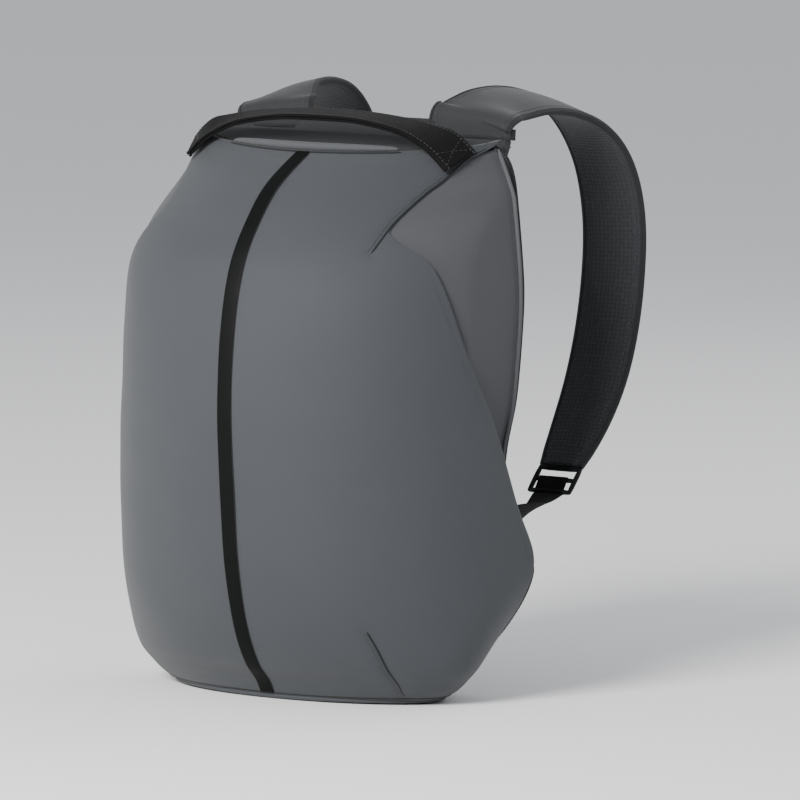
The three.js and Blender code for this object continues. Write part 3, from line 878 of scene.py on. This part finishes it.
def skin_grid(rows=190, columns=201):
    """The skin's outer points, its normals and its cloth map."""
    fine = np.linspace(0, TOP[FRONT], 1200)
    middle = np.array([skin_row(body_row(h), np.array([0.0]))[0] for h in fine])
    run = run_length(middle)
    heights = np.interp(np.linspace(0, run[-1], rows), run, fine)
    grid, cloth = [], []
    for r, height in enumerate(heights):
        row = body_row(height)
        left, right = (skin_edge(row, height, side) * math.pi / 2 for side in (-1, 1))
        points = skin_row(row, np.linspace(-left, right, columns))
        around = run_length(points)
        grid.append(points)
        cloth.append(np.stack([around - around[-1] / 2, np.full(columns, run[-1] * r / (rows - 1))], axis=1))
    grid = np.array(grid)
    normals = grid_normals(grid)
    x, z = grid[..., 0], grid[..., 2]

    # Two faint uneven swells of the cloth, and then a dip along each seam.
    swell = 0.35 * MM * np.sin(z * 31 + x * 17) * np.sin(x * 43 + 0.7)
    swell += 0.22 * MM * np.sin(z * 83 + 1.1) * np.sin(x * 61 + z * 29)
    for seam in SEAMS:
        line, _ = on_skin(curved(seam, 40))
        gap = np.min(np.linalg.norm(grid[:, :, None] - line[None, None], axis=-1), axis=-1)
        swell -= 1.2 * MM * np.exp(-((gap / (5 * MM)) ** 2))
    fade = np.clip(np.minimum(z, HEIGHT - z) / (30 * MM), 0, 1)
    return grid + normals * (swell * fade)[..., None], normals, np.array(cloth)


def grid_normals(grid):
    """Outward normals of a grid that runs from the left round the front to the right."""
    return unit(np.cross(np.gradient(grid, axis=1), np.gradient(grid, axis=0)))


def walled(outer, normals, cloth, turn=4):
    """A cloth wall behind a grid, closed by rounded free edges."""
    form = Form()
    rows, columns = outer.shape[:2]
    inner = outer - normals * WALL
    inner[0, :, 2] = outer[0, :, 2]
    inner[-1, :, 2] = outer[-1, :, 2]
    arc = np.linspace(0, math.pi, turn + 2)[1:-1]

    def rim(column, direction):
        middle = (outer[:, column] + inner[:, column]) / 2
        normal = unit(outer[:, column] - inner[:, column])
        out = unit(direction)
        out = unit(out - normal * np.sum(out * normal, axis=1, keepdims=True))
        return np.stack([middle + WALL / 2 * (math.cos(a) * normal + math.sin(a) * out) for a in arc], axis=1)

    right = rim(-1, outer[:, -1] - outer[:, -2])
    left = rim(0, outer[:, 0] - outer[:, 1])
    rings = np.concatenate([outer, right, inner[:, ::-1], left[:, ::-1]], axis=1)
    first, last = (np.repeat(cloth[:, [c]], turn, axis=1) for c in (0, -1))
    form.net(rings, True, np.concatenate([cloth, last, cloth[:, ::-1], first, cloth[:, :1]], axis=1))
    for r in (0, rows - 1):
        low = r * 2 * (columns + turn)
        for c in range(columns - 1):
            far = 2 * columns + turn - 1 - c
            corners = (low + c, low + c + 1, low + far - 1, low + far)
            form.face(corners, [cloth[r][c], cloth[r][c + 1], cloth[r][c + 1], cloth[r][c]])
        end = [low + columns - 1 + k for k in range(turn + 2)]
        form.face(end, [cloth[r][-1]] * len(end))
        begin = [low + 2 * columns + turn - 1 + k for k in range(turn + 1)] + [low]
        form.face(begin, [cloth[r][0]] * len(begin))
    return form


class BACKPACK_OT_skin(Operator):
    """Makes the smooth outer skin with its seams, dart, rolled foot and topstitching"""

    bl_idname = "backpack.skin"
    bl_label = "Outer skin"

    def execute(self, context):
        form = walled(*skin_grid())
        form.sew("outer_skin", ["skin_cloth"], "skin_fabric", ["front_shell"])
        # Dark cords of painted shadow along the seams and the dart, where their creases fall into shade.
        lines = [on_skin(curved(seam, 40), -0.9 * MM) for seam in SEAMS]
        cords("skin_seam_shadows", lines, 0.75 * MM, "seam_shadow", "dark_fabric")
        rows = [beside(points, facing, -3.2 * MM, 1.2 * MM) for points, facing in lines]
        # The foot roll is of the skin's fabric; the foot seam is a dark cord of painted shadow along the seam
        # above it.
        for name, height, lift, radius, material, slot in (
            ("foot_roll", 0.0055, -0.4 * MM, 1.6 * MM, "skin_cloth", "skin_fabric"),
            ("foot_seam_shadow", 0.0115, -0.2 * MM, 0.6 * MM, "seam_shadow", "dark_fabric"),
        ):
            path = [(height + 0.002 * abs(s), s) for s in np.linspace(-0.985, 0.985, 140)]
            cords(name, [on_skin(path, lift)], radius, material, slot)
        heights = np.linspace(MOUTH_LOW, 0.78, 80)
        for _, side in SIDES:
            path = [(height, side * mouth_share(body_row(height), 0.034)) for height in heights]
            rows.append(on_skin(path, 0.15 * MM)[0])
        stitches("skin_stitches", rows)
        return {"FINISHED"}


def side_wall_grid(side, wall_rows=70, columns=22):
    """The recessed side wall: straight from the rear rim until it meets the inside of the skin."""
    grid = []
    for height in np.linspace(0.068, 0.955, wall_rows):
        row = body_row(height)
        deep = row[DEPTH_SHARE] * DEPTH
        end = max(SIDE_MEETS * row[DEPTH_SHARE], max(row[MOUTH], 0) + SIDE_LAP / DEPTH) * DEPTH
        forward = np.linspace(end, 0, columns)
        inset = WALL + 0.6 * MM
        limit = half_width(row, forward / (deep - inset), inset)
        straight = row[INNER] * HALF - SIDE_SLOPE * forward
        pull = 1.2 * MM * np.sin(np.pi * np.clip(forward / (70 * MM), 0, 1))
        x = np.minimum(straight - pull, limit)
        z = HEIGHT * (row[REAR_SHARE] + (row[FRONT] - row[REAR_SHARE]) * np.clip(forward / deep, 0, 1))
        grid.append(np.stack([side * x, REAR - forward, z], axis=1))
    grid = np.array(grid)
    return grid if side > 0 else grid[:, ::-1]


class BACKPACK_OT_sides(Operator):
    """Makes the recessed side walls behind the pocket mouths, with the piping at their rear edges"""

    bl_idname = "backpack.sides"
    bl_label = "Side walls"

    def execute(self, context):
        for word, side in SIDES:
            grid = side_wall_grid(side)
            across = np.array([run_length(row) for row in grid])
            along = run_length(grid[:, 0])
            cloth = np.stack([across, np.repeat(along[:, None], grid.shape[1], axis=1)], axis=2)
            form = walled(grid, grid_normals(grid), cloth)
            form.sew(f"side_wall_{word}", ["side_cloth"], "side_fabric", [f"side_panel_{word}"])
            rear = grid[:, -1] if side > 0 else grid[:, 0]
            rear = even(rear[rear[:, 2] > MOUTH_LOW * HEIGHT], 4 * MM)
            # The piping cord, lighter in colour as a painted highlight along the rear edge.
            line = (rear + np.array([side * 0.6 * MM, -2.2 * MM, 0]), (side, 0, 0))
            cords(f"side_piping_{word}", [line], 1.7 * MM, "piping_cloth_highlight", "side_fabric")
            line = rear + np.array([side * 0.3 * MM, -6.5 * MM, 0])
            stitches(f"side_stitches_{word}", [line])
        return {"FINISHED"}


def section_outline(row, inset, count=60):
    """The outline of a body section from its left rear corner round the front to its right one."""
    angles = np.linspace(-1, 1, count) * math.pi / 2
    return skin_row(row, angles, inset)


def plate(name, row, low, crown, material, slot, node):
    """A sewn plate across a body section, with rounded edges and a slight crown."""
    high = low + WALL
    outline = section_outline(row, PLATE_INSET)
    outline[:, 1] = np.minimum(outline[:, 1], REAR - 0.6 * MM)
    centre = np.array([0, (outline[:, 1].min() + outline[:, 1].max()) / 2, 0])
    tilt = outline[:, 2] - outline[:, 2].min()
    rings = []
    shrink = [0.0, 0.35, 0.7, 0.9, 0.985, 1.0, 1.0, 0.985, 0.9, 0.5, 0.0]
    levels = [low] * 5 + [0.7 * low + 0.3 * high, 0.3 * low + 0.7 * high] + [high] * 4
    for share, level in zip(shrink, levels):
        ring = centre + (outline - centre) * share
        bulge = crown * (1 - share**2) if level == high else 0
        ring[:, 2] = level + tilt * share + bulge
        rings.append(ring)
    form = Form()
    rings = np.array(rings)
    cloth = np.concatenate([rings[:, :, :2], rings[:, :1, :2]], axis=1)
    form.net(rings, True, cloth)
    form.sew(name, [material], slot, [node])


class BACKPACK_OT_plates(Operator):
    """Makes the dark roof behind the lip and the flat base"""

    bl_idname = "backpack.plates"
    bl_label = "Roof and base"

    def execute(self, context):
        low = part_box("roof_panel")[0][2]
        plate("roof_cloth", TOP, low, 2.0 * MM, "dark_cloth", "dark_fabric", "roof_panel")
        plate("base_cloth", BODY[0], 0.0, 0.0, "skin_cloth", "skin_fabric", "base_panel")
        seam = section_outline(TOP, 9 * MM, 90)[8:-8]
        seam[:, 2] = low + 3.4 * MM + (seam[:, 2] - seam[:, 2].min()) * 0.95
        stitches("roof_stitches", [seam], "dark_thread")
        return {"FINISHED"}


def rim_outline(inset, spacing=4 * MM, rounds=10):
    """The rear rim's outline in X and Z, moved in by an inset, with its corners rounded."""
    lower = [(row[TUCK], max(row[REAR_SHARE] * HEIGHT, inset)) for row in BODY[: CORNER + 1]]
    wing = (BODY[CORNER][INNER], BODY[CORNER][REAR_SHARE] * HEIGHT + 8 * MM - inset / 2)
    upper = [(row[INNER], min(row[REAR_SHARE] * HEIGHT, HEIGHT - inset)) for row in BODY[CORNER + 1 :]]
    right = [(half * HALF - inset, z) for half, z in lower + [wing] + upper]
    both = np.array(right + [(-x, z) for x, z in reversed(right)])
    return round_off(both, spacing, rounds)


def outline_frames(outline, y):
    """Places of a rim outline at depth y, and its outward directions."""
    places = np.stack([outline[:, 0], np.full(len(outline), y), outline[:, 1]], axis=1)
    along = unit(np.roll(places, -1, axis=0) - np.roll(places, 1, axis=0))
    outward = unit(np.cross(along, alike((0, 1, 0), along)))
    middle = places.mean(axis=0)
    if np.sum(outward * (places - middle)) < 0:
        outward = -outward
    return places, outward


class BACKPACK_OT_rim(Operator):
    """Makes the band round the rear rim with the main zip's tape, teeth and slider"""

    bl_idname = "backpack.rim"
    bl_label = "Main zip"

    def execute(self, context):
        sizes = context.scene.backpack_sizes
        low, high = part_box("main_zip")
        middle = (low[1] + high[1]) / 2
        half = (high[1] - low[1]) / 2
        outline = rim_outline(5.5 * MM)
        places, outward = outline_frames(outline, middle)
        back = alike((0, 1, 0), places)
        tape = [
            (-3.0 * MM, -half), (1.2 * MM, -half), (2.6 * MM, -half * 0.93), (3.0 * MM, -half * 0.75),
            (2.9 * MM, -half * 0.42), (2.1 * MM, -half * 0.36), (2.1 * MM, half * 0.36),
            (2.9 * MM, half * 0.42), (3.0 * MM, half * 0.75), (2.6 * MM, half * 0.93), (1.2 * MM, half),
            (-3.0 * MM, half),
        ]
        form = Form()
        form.sweep(places, outward, back, tape, closed=True)
        form.sew("zip_tape", ["dark_cloth"], "dark_fabric", ["main_zip"])
        rows = [places + outward * 2.35 * MM + back * sign * 0.55 * MM for sign in (-1, 1)]
        rows[1] = even((rows[1] + np.roll(rows[1], -1, axis=0)) / 2, 4 * MM, True)
        size = (1.25 * MM, 2.0 * MM, 1.2 * MM)
        pitch = sizes.tooth_pitch
        rows_of("tooth", "zip_teeth", rows, "lock_plastic", pitch, size, closed=True)
        lines = [places + outward * 3.05 * MM + back * sign * half * 0.72 for sign in (-1, 1)]
        stitches("zip_stitches", lines, "dark_thread")
        at = int(np.argmin(np.linalg.norm(places - np.array([-HALF * 0.8, middle, 0.3]), axis=1)))
        ahead = unit(places[at + 1] - places[at - 1])
        out, side = outward[at], back[at]
        run = places[at] + np.linspace(-5, 5, 9)[:, None] * MM * ahead + out * 3.6 * MM
        width = np.array([2.2, 3.0, 3.3, 3.2, 2.8, 2.8, 2.6, 2.2, 1.4]) * MM
        sections = [flat_section(2 * w, 3.0 * MM, 1.6 * MM, 8, 4) for w in width]
        slider = Form()
        slider.sweep(run, np.tile(side, (9, 1)), np.tile(out, (9, 1)), sections)
        pull = run[-1] + np.linspace(0, 1, 12)[:, None] * (ahead * 20 * MM - out * 1.0 * MM)
        widths = 3.2 * MM + 1.2 * MM * np.sin(np.linspace(0.3, 2.9, 12))
        sections = [flat_section(2 * w * 0.8, 1.8 * MM, 1.2 * MM, 8, 4) for w in widths]
        slider.sweep(pull, np.tile(side, (12, 1)), np.tile(out, (12, 1)), sections)
        slider.sew("zip_slider", ["slider_metal"], "buckle_plastic")
        return {"FINISHED"}


# The back


def swell_pad(piece, cap, floor_y):
    """Swells a closed pad by cloth simulation, and keeps it off the board behind it."""
    scene = bpy.context.scene
    remesh = piece.modifiers.new("even", "REMESH")
    remesh.mode = "VOXEL"
    remesh.voxel_size = 5 * MM
    made = evaluated(piece)
    piece.modifiers.remove(remesh)
    material = piece.data.materials[0]
    piece.data = made
    made.materials.clear()
    made.materials.append(material)
    before = np.array([v.co[:] for v in made.vertices])
    cloth = piece.modifiers.new("swell", "CLOTH")
    cloth.settings.use_pressure = True
    cloth.settings.uniform_pressure_force = 4
    cloth.settings.effector_weights.gravity = 0
    for number in range(1, 21):
        scene.frame_set(number)
    graph = bpy.context.evaluated_depsgraph_get()
    after = np.array([v.co[:] for v in piece.evaluated_get(graph).data.vertices])
    piece.modifiers.remove(cloth)
    scene.frame_set(1)
    move = after - before
    length = np.linalg.norm(move, axis=1, keepdims=True)
    move *= np.minimum(1, cap / np.maximum(length, 1e-9))
    after = before + move
    after[:, 1] = np.maximum(after[:, 1], floor_y)
    for vertex, place in zip(made.vertices, after):
        vertex.co = place
    smoother = piece.modifiers.new("round", "SUBSURF")
    smoother.levels = 1
    smoother.render_levels = 1
    final = evaluated(piece)
    piece.modifiers.remove(smoother)
    piece.data = final
    final.polygons.foreach_set("use_smooth", [True] * len(final.polygons))


class BACKPACK_OT_back(Operator):
    """Makes the back board with its swelled spacer mesh pads and the channels between them"""

    bl_idname = "backpack.back"
    bl_label = "Back panel"

    def execute(self, context):
        outline = rim_outline(6 * MM)
        board_rear = BACK_FRONT + 7.5 * MM
        levels = [
            (1.6, BACK_FRONT), (0.3, BACK_FRONT + 0.8 * MM), (0.0, BACK_FRONT + 2.4 * MM),
            (0.0, board_rear - 3.2 * MM), (0.5, board_rear - 1.4 * MM), (2.2, board_rear),
        ]
        form = Form()
        rings = []
        for inset, y in levels:
            places, outward = outline_frames(outline, y)
            rings.append(places - outward * inset * MM)
        rings = np.array(rings)
        cloth = np.concatenate([rings[:, :, ::2], rings[:, :1, ::2]], axis=1)
        form.net(rings, True, cloth, caps=True)
        form.sew("back_board", ["spacer_mesh"], "padding", ["back_panel"], shade_angle=50)
        places, outward = outline_frames(outline, board_rear - 0.6 * MM)
        edge = (places - outward * 2.2 * MM, (0, 1, 0))
        cords("back_binding", [edge], 2.2 * MM, "binding_tape", "padding", closed=True, squash=0.8)
        upright = [(114, 110), (24, 106), (15, 150), (15, 330), (28, 378), (104, 376), (116, 300)]
        shapes = {
            "pad_left": [(-x, z) for x, z in upright],
            "pad_right": upright,
            "pad_lumbar": [(-112, 30), (112, 30), (128, 66), (112, 94), (0, 90), (-112, 94), (-128, 66)],
        }
        for name, corners in shapes.items():
            shape = round_off(np.array(corners) * MM, 5 * MM, 7)
            form = Form()
            places, outward = outline_frames(shape, 0.0)
            rings = []
            for inset, rise in ((0, -0.5), (0, 2.5), (5, 5.0)):
                ring = places - outward * inset * MM
                ring[:, 1] = board_rear + rise * MM
                rings.append(ring)
            form.net(np.array(rings), True, caps=True)
            pad = form.sew(name, ["spacer_mesh"], "padding")
            swell_pad(pad, 6 * MM, board_rear - 0.5 * MM)
            places, outward = outline_frames(shape, board_rear + 0.4 * MM)
            edge = (places + outward * MM, (0, 1, 0))
            cords(name + "_piping", [edge], 1.1 * MM, "binding_tape", "padding", closed=True)
        return {"FINISHED"}


# Front trim


class BACKPACK_OT_trim(Operator):
    """Makes the black middle strip with cords of painted shadow at its edges, and the rolled lip, painted
    lighter as a highlight, with a cord of painted shadow along the seam under it
    """

    bl_idname = "backpack.trim"
    bl_label = "Strip and lip"

    def execute(self, context):
        sizes = context.scene.backpack_sizes
        path = [(h, 0.0) for h in np.linspace(0.013, TOP[FRONT] - 0.004, 220)]
        points, facing = on_skin(path, 0.55 * MM)
        sides = alike((1, 0, 0), points)
        section = flat_section(sizes.strip_width, 1.5 * MM, 1.1 * MM, 12, 4)
        form = Form()
        form.sweep(points, sides, facing, section)
        form.sew("front_strip", ["strip_finish"], "strip_rubber", ["center_strip"])
        # Dark cords of painted shadow along both edges of the strip, where it meets the skin.
        middle = points - facing * 0.35 * MM
        edges = [(middle + sides * sign * sizes.strip_width * 0.5, facing) for sign in (-1, 1)]
        cords("strip_edge_shadows", edges, 0.55 * MM, "seam_shadow", "strip_rubber")

        reach = TOP[DEPTH_SHARE] * DEPTH
        x = np.linspace(-1, 1, 81) * sizes.lip_half
        share = np.abs(x) / (TOP[HALF_SHARE] * HALF)
        forward = reach * (1 - share ** TOP[POWER]) ** (1 / TOP[POWER]) - WALL / 2
        z = HEIGHT * (TOP[REAR_SHARE] + (TOP[FRONT] - TOP[REAR_SHARE]) * forward / reach)
        lens = np.sqrt(np.maximum(1 - (x / sizes.lip_half) ** 2, 0))
        high = (0.9 + 2.3 * lens) * MM
        places = np.stack([x, REAR - forward, z + high * 0.85], axis=1)
        up = alike((0, 0, 1), places)
        out, _ = frames_along(places, alike((0, -1, 0), places))
        sections = [round_section(1.5 * MM + 1.6 * MM * k, h, 16) for k, h in zip(lens, high)]
        # The rolled lip, whose lighter colour is painted highlight.
        lip = Form()
        lip.sweep(places, out, up, sections)
        lip.sew("rolled_lip", ["lip_cloth_highlight"], "lip_fabric", ["top_lip"])
        # A dark cord of painted shadow along the seam under the lip.
        seam = on_skin([(TOP[FRONT] - 0.003, s) for s in np.linspace(-0.42, 0.42, 60)], 0.2 * MM)
        cords("lip_seam_shadow", [seam], 0.85 * MM, "seam_shadow", "dark_fabric")
        line = on_skin([(TOP[FRONT] - 0.013, s) for s in np.linspace(-0.42, 0.42, 60)], 0.15 * MM)[0]
        stitches("lip_stitches", [line])
        return {"FINISHED"}


class BACKPACK_OT_handle(Operator):
    """Makes the arched carry handle of folded webbing with its sewn flared ends"""

    bl_idname = "backpack.handle"
    bl_label = "Carry handle"

    def execute(self, context):
        sizes = context.scene.backpack_sizes
        half = curved(HANDLE, 60)[3:]
        table = np.vstack([half * (-1, 1, 1, 1, 1), half[-2::-1]])
        across, ahead, rise, share, cant = table.T
        places = np.stack([across * HANDLE_SPAN, REAR - ahead * DEPTH, HEIGHT + rise * HANDLE_RISE], axis=1)
        cant = np.radians(cant)
        sides = np.stack([cant * 0, np.cos(cant), np.sin(cant)], axis=1)
        sides, normals = frames_along(places, sides)
        thick = sizes.handle_thickness
        widths = share * sizes.handle_width
        form = Form()
        for layer in (-1, 1):
            layer_widths = widths - (1 + layer) * 0.5 * MM
            sections = [flat_section(w, thick * 0.5, thick * 0.42, 14, 5) for w in layer_widths]
            form.sweep(places + normals * layer * thick * 0.24, sides, normals, sections)
        form.sew("handle_webbing", ["strap_webbing"], "webbing", ["carry_handle"])
        rows = edge_rows(places, sides, normals, widths, 3 * MM, thick * 0.49)
        for end in (slice(2, 12), slice(-12, -2)):
            for face in (-1, 1):
                lift = normals[end] * face * thick * 0.5
                wide = sides[end] * (widths[end] * 0.5 - 4 * MM)[:, None]
                ramp = np.linspace(-1, 1, len(lift))[:, None]
                rows.append(places[end] + wide * ramp + lift)
                rows.append(places[end] - wide * ramp + lift)
        stitches("handle_stitches", rows, "dark_thread")
        return {"FINISHED"}


# Harness


def padded_band(name, places, sides, normals, widths, middle, edge, node):
    """A padded band whose wearer's side, towards its normals, has the second material."""
    columns = 18
    sections = [flat_section(w, middle, edge, columns) for w in widths]
    form = Form()
    form.sweep(places, sides, normals, sections, mark=lambda r, c: int(c < columns - 1))
    band = form.sew(name, ["strap_cloth", "strap_mesh"], "strap_fabric", [node])


class BACKPACK_OT_yoke(Operator):
    """Makes the padded band that joins the two shoulder straps behind the handle"""

    bl_idname = "backpack.yoke"
    bl_label = "Strap yoke"

    def execute(self, context):
        low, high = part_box("strap_yoke")
        x = np.linspace(low[0], high[0], 60) * 0.93
        out = np.clip((np.abs(x) / x[-1] - 0.84) / 0.16, 0, 1)
        top = high[2] - 12 * MM * out**2
        foot = low[2] + 3 * MM * out**3
        places = np.stack([x, np.full(60, (low[1] + high[1]) / 2), (top + foot) / 2], axis=1)
        sides, normals = frames_along(places, alike((0, 0, 1), places))
        width = top - foot
        padded_band("yoke_pad", places, sides, -normals, width, 8 * MM, 4 * MM, "strap_yoke")
        reach = sides * (width * 0.5 - 1.6 * MM)[:, None]
        edges = [(places + reach * sign, (0, 1, 0)) for sign in (-1, 1)]
        cords("yoke_binding", edges, 2.4 * MM, "binding_tape", "strap_fabric")
        rows = edge_rows(places, sides, normals, width, 5 * MM, 3.4 * MM)
        stitches("yoke_stitches", rows)
        return {"FINISHED"}


def strap_frames(side, samples=150):
    """Places, side vectors, normals and widths along one shoulder strap."""
    across, behind, rise, share, cant = curved(STRAP, samples).T
    flare = STRAP_FLARES[side] * np.exp(-(((behind - STRAP[0][1]) / 0.1) ** 2))
    x = side * (across * HALF + flare / 2)
    share = share + flare / bpy.context.scene.backpack_sizes.strap_width
    places = np.stack([x, BACK_REAR + behind * STRAP_REACH, STRAP_START + rise * STRAP_DROP], axis=1)
    lap = places[:1] - np.array([[0, 0, 12], [0, 0, 8], [0, 0, 4]]) * MM
    places = eased_path(np.vstack([lap, places]), 14)
    share, cant = (np.concatenate([column[[0, 0, 0]], column]) for column in (share, np.radians(cant)))
    sides, normals = frames_along(places, np.stack([np.cos(cant), cant * 0, -side * np.sin(cant)], axis=1))
    return places, sides, normals, share


def lock_frame(side):
    """The lower end of a strap: its place and its direction."""
    places = strap_frames(side)[0]
    return places[-1], unit(places[-1] - places[-2])


def bar(form, start, end, wide, high, flat):
    """A straight moulded bar with rounded edges."""
    places = np.linspace(start, end, 5)
    sides, normals = frames_along(places, alike(flat, places))
    sections = [round_section(wide * k, high * k) for k in (0.8, 1, 1, 1, 0.8)]
    form.sweep(places, sides, normals, sections)


class BACKPACK_OT_straps(Operator):
    """Makes the two padded shoulder straps with their binding and stitching"""

    bl_idname = "backpack.straps"
    bl_label = "Shoulder straps"

    def execute(self, context):
        sizes = context.scene.backpack_sizes
        for word, side in SIDES:
            places, sides, normals, shares = strap_frames(side)
            widths = shares * sizes.strap_width
            name, node = f"strap_{word}", f"shoulder_strap_{word}"
            thick = sizes.strap_thickness
            padded_band(name, places, sides, normals, widths - 2 * MM, thick, 4.4 * MM, node)
            binding = Form()
            section = flat_section(5.4 * MM, 5.6 * MM, 4.6 * MM, 6, 4)
            for sign in (-1, 1):
                edge = places + sides * (widths * 0.5 - 2.1 * MM)[:, None] * sign
                binding.sweep(edge, sides, normals, section)
            binding.sew(name + "_binding", ["binding_tape"], "strap_fabric")
            rows = edge_rows(places, sides, normals, widths, 6.6 * MM, 3.05 * MM)
            for at in (-12, -8):
                wide = sides[at] * (widths[at] * 0.5 - 7 * MM)
                line = np.linspace(places[at] - wide, places[at] + wide, 8)
                rows += [line + normals[at] * face * 4.4 * MM for face in (-1, 1)]
            stitches(name + "_stitches", rows)
        return {"FINISHED"}


class BACKPACK_OT_adjusters(Operator):
    """Makes the ladder locks at the straps' lower ends and the webbing that runs from them"""

    bl_idname = "backpack.adjusters"
    bl_label = "Adjusters and webbing"

    def execute(self, context):
        sizes = context.scene.backpack_sizes
        for word, side in SIDES:
            place, down = lock_frame(side)
            across = np.array([1.0, 0, 0])
            flat = unit(np.cross(across, down))
            start = place + down * 1.6 * MM
            run = down * (LOCK_LENGTH - 3 * MM)
            form = Form()
            for sign in (-1, 1):
                rail = start + across * sign * 17.2 * MM
                bar(form, rail, rail + run, 1.9 * MM, 2.0 * MM, across)
            for share, high in ((0.04, 2.1), (0.5, 1.5), (0.97, 1.9)):
                line = start + run * share
                bar(form, line - across * 17.5 * MM, line + across * 17.5 * MM, 2.3 * MM, high * MM, down)
            form.sew(f"lock_{word}", ["lock_plastic"], "buckle_plastic", [f"ladder_lock_{word}"])

            inner = BODY[CORNER + 1][INNER] * HALF
            web = flat_section(sizes.web_width, WEB_THICKNESS, WEB_THICKNESS * 0.85, 12, 5)
            first = np.array([side * (inner - 4.9 * MM), BACK_REAR - 6 * MM, WEB_ANCHOR * HEIGHT])
            last = place + down * (LOCK_LENGTH + 0.6 * MM)
            along, rise, turn = curved(WEBBING, 50).T
            angle = np.radians(turn)
            places = first + (last - first) * along[:, None]
            places[:, 2] += rise * MM
            sides = np.stack([np.sin(angle), angle * 0, np.cos(angle)], axis=1)
            sides, normals = frames_along(places, sides)
            form = Form()
            form.sweep(places, sides, normals, web)
            steps = ((0, 0), (4, 1.2), (15, 3.0))
            loop = curved([last - down * back * MM - flat * off * MM for back, off in steps], 14)
            form.sweep(loop, *frames_along(loop, alike(across, loop)), web)
            form.sew(f"web_{word}", ["strap_webbing"], "webbing", [f"strap_webbing_{word}"])
        return {"FINISHED"}


# Stage


class BACKPACK_OT_stage(Operator):
    """Makes the pale floor, the soft lights and the camera"""

    bl_idname = "backpack.stage"
    bl_label = "Stage"

    def execute(self, context):
        scene = context.scene
        data = bpy.data.meshes.new("studio_floor")
        turn = np.linspace(0, 2 * math.pi, 64, endpoint=False)
        data.from_pydata([(40 * math.cos(a), 40 * math.sin(a), 0) for a in turn], [], [tuple(range(64))])
        data.materials.append(finish("studio_floor"))
        linked("studio_floor", data)

        world = bpy.data.worlds.new("studio")
        world.use_nodes = True
        glow = world.node_tree.nodes["Background"].inputs
        glow["Color"].default_value = (0.93, 0.95, 1.0, 1)
        glow["Strength"].default_value = 0.62
        scene.world = world
        lamps = (
            ("key", (0.1, -3.4, 1.95), 1.5, 285, (1.0, 0.985, 0.96)),
            ("fill", (-2.8, -1.2, 1.2), 2.4, 8, (0.95, 0.97, 1.0)),
            ("rear", (0.6, 2.8, 2.2), 2.2, 30, (1.0, 1.0, 1.0)),
        )
        for name, place, size, power, colour in lamps:
            lamp = bpy.data.lights.new(name, "AREA")
            lamp.shape = "DISK"
            lamp.size = size
            lamp.energy = power
            lamp.color = colour
            holder = linked(name, lamp)
            holder.location = place
            aim = Vector((0, 0, 0.22)) - Vector(place)
            holder.rotation_euler = aim.to_track_quat("-Z", "Y").to_euler()

        azimuth, elevation, roll, far = math.radians(30), math.radians(5), math.radians(1.5), 6.0
        flat = math.cos(elevation)
        back = Vector((math.sin(azimuth) * flat, -math.cos(azimuth) * flat, math.sin(elevation)))
        target = Vector((0.0568, 0.0328, 0.222))
        lens = bpy.data.cameras.new("camera")
        lens.sensor_width = 36
        lens.lens = 36 * far / scene.backpack_sizes.view_width
        lens.clip_end = 120
        camera = linked("camera", lens)
        look = (-back).to_track_quat("-Z", "Y").to_matrix().to_4x4()
        camera.matrix_world = Matrix.Translation(target + back * far) @ look @ Matrix.Rotation(roll, 4, "Z")
        scene.camera = camera
        return {"FINISHED"}


class BACKPACK_PT_pieces(Panel):
    """Lists the backpack's pieces and settings"""

    bl_label = "Backpack"
    bl_space_type = "VIEW_3D"
    bl_region_type = "UI"
    bl_category = "Backpack"

    def draw(self, context):
        for piece in PIECES:
            self.layout.operator(piece.bl_idname)
        for group in (context.scene.backpack_sizes, context.scene.backpack_colours):
            box = self.layout.box()
            for name in group.__annotations__:
                box.prop(group, name)


PIECES = (
    BACKPACK_OT_stage,
    BACKPACK_OT_skin,
    BACKPACK_OT_sides,
    BACKPACK_OT_plates,
    BACKPACK_OT_rim,
    BACKPACK_OT_back,
    BACKPACK_OT_trim,
    BACKPACK_OT_handle,
    BACKPACK_OT_yoke,
    BACKPACK_OT_straps,
    BACKPACK_OT_adjusters,
)
CLASSES = (BackpackSizes, BackpackColours, *PIECES, BACKPACK_PT_pieces)


def register():
    """Adds the classes and the settings."""
    for item in CLASSES:
        bpy.utils.register_class(item)
    bpy.types.Scene.backpack_sizes = PointerProperty(type=BackpackSizes)
    bpy.types.Scene.backpack_colours = PointerProperty(type=BackpackColours)


def unregister():
    """Takes them away again."""
    del bpy.types.Scene.backpack_colours
    del bpy.types.Scene.backpack_sizes
    for item in reversed(CLASSES):
        bpy.utils.unregister_class(item)


def main():
    """Makes every piece."""
    register()
    for piece in PIECES:
        group, name = piece.bl_idname.split(".")
        getattr(getattr(bpy.ops, group), name)()


if __name__ == "__main__":
    main()
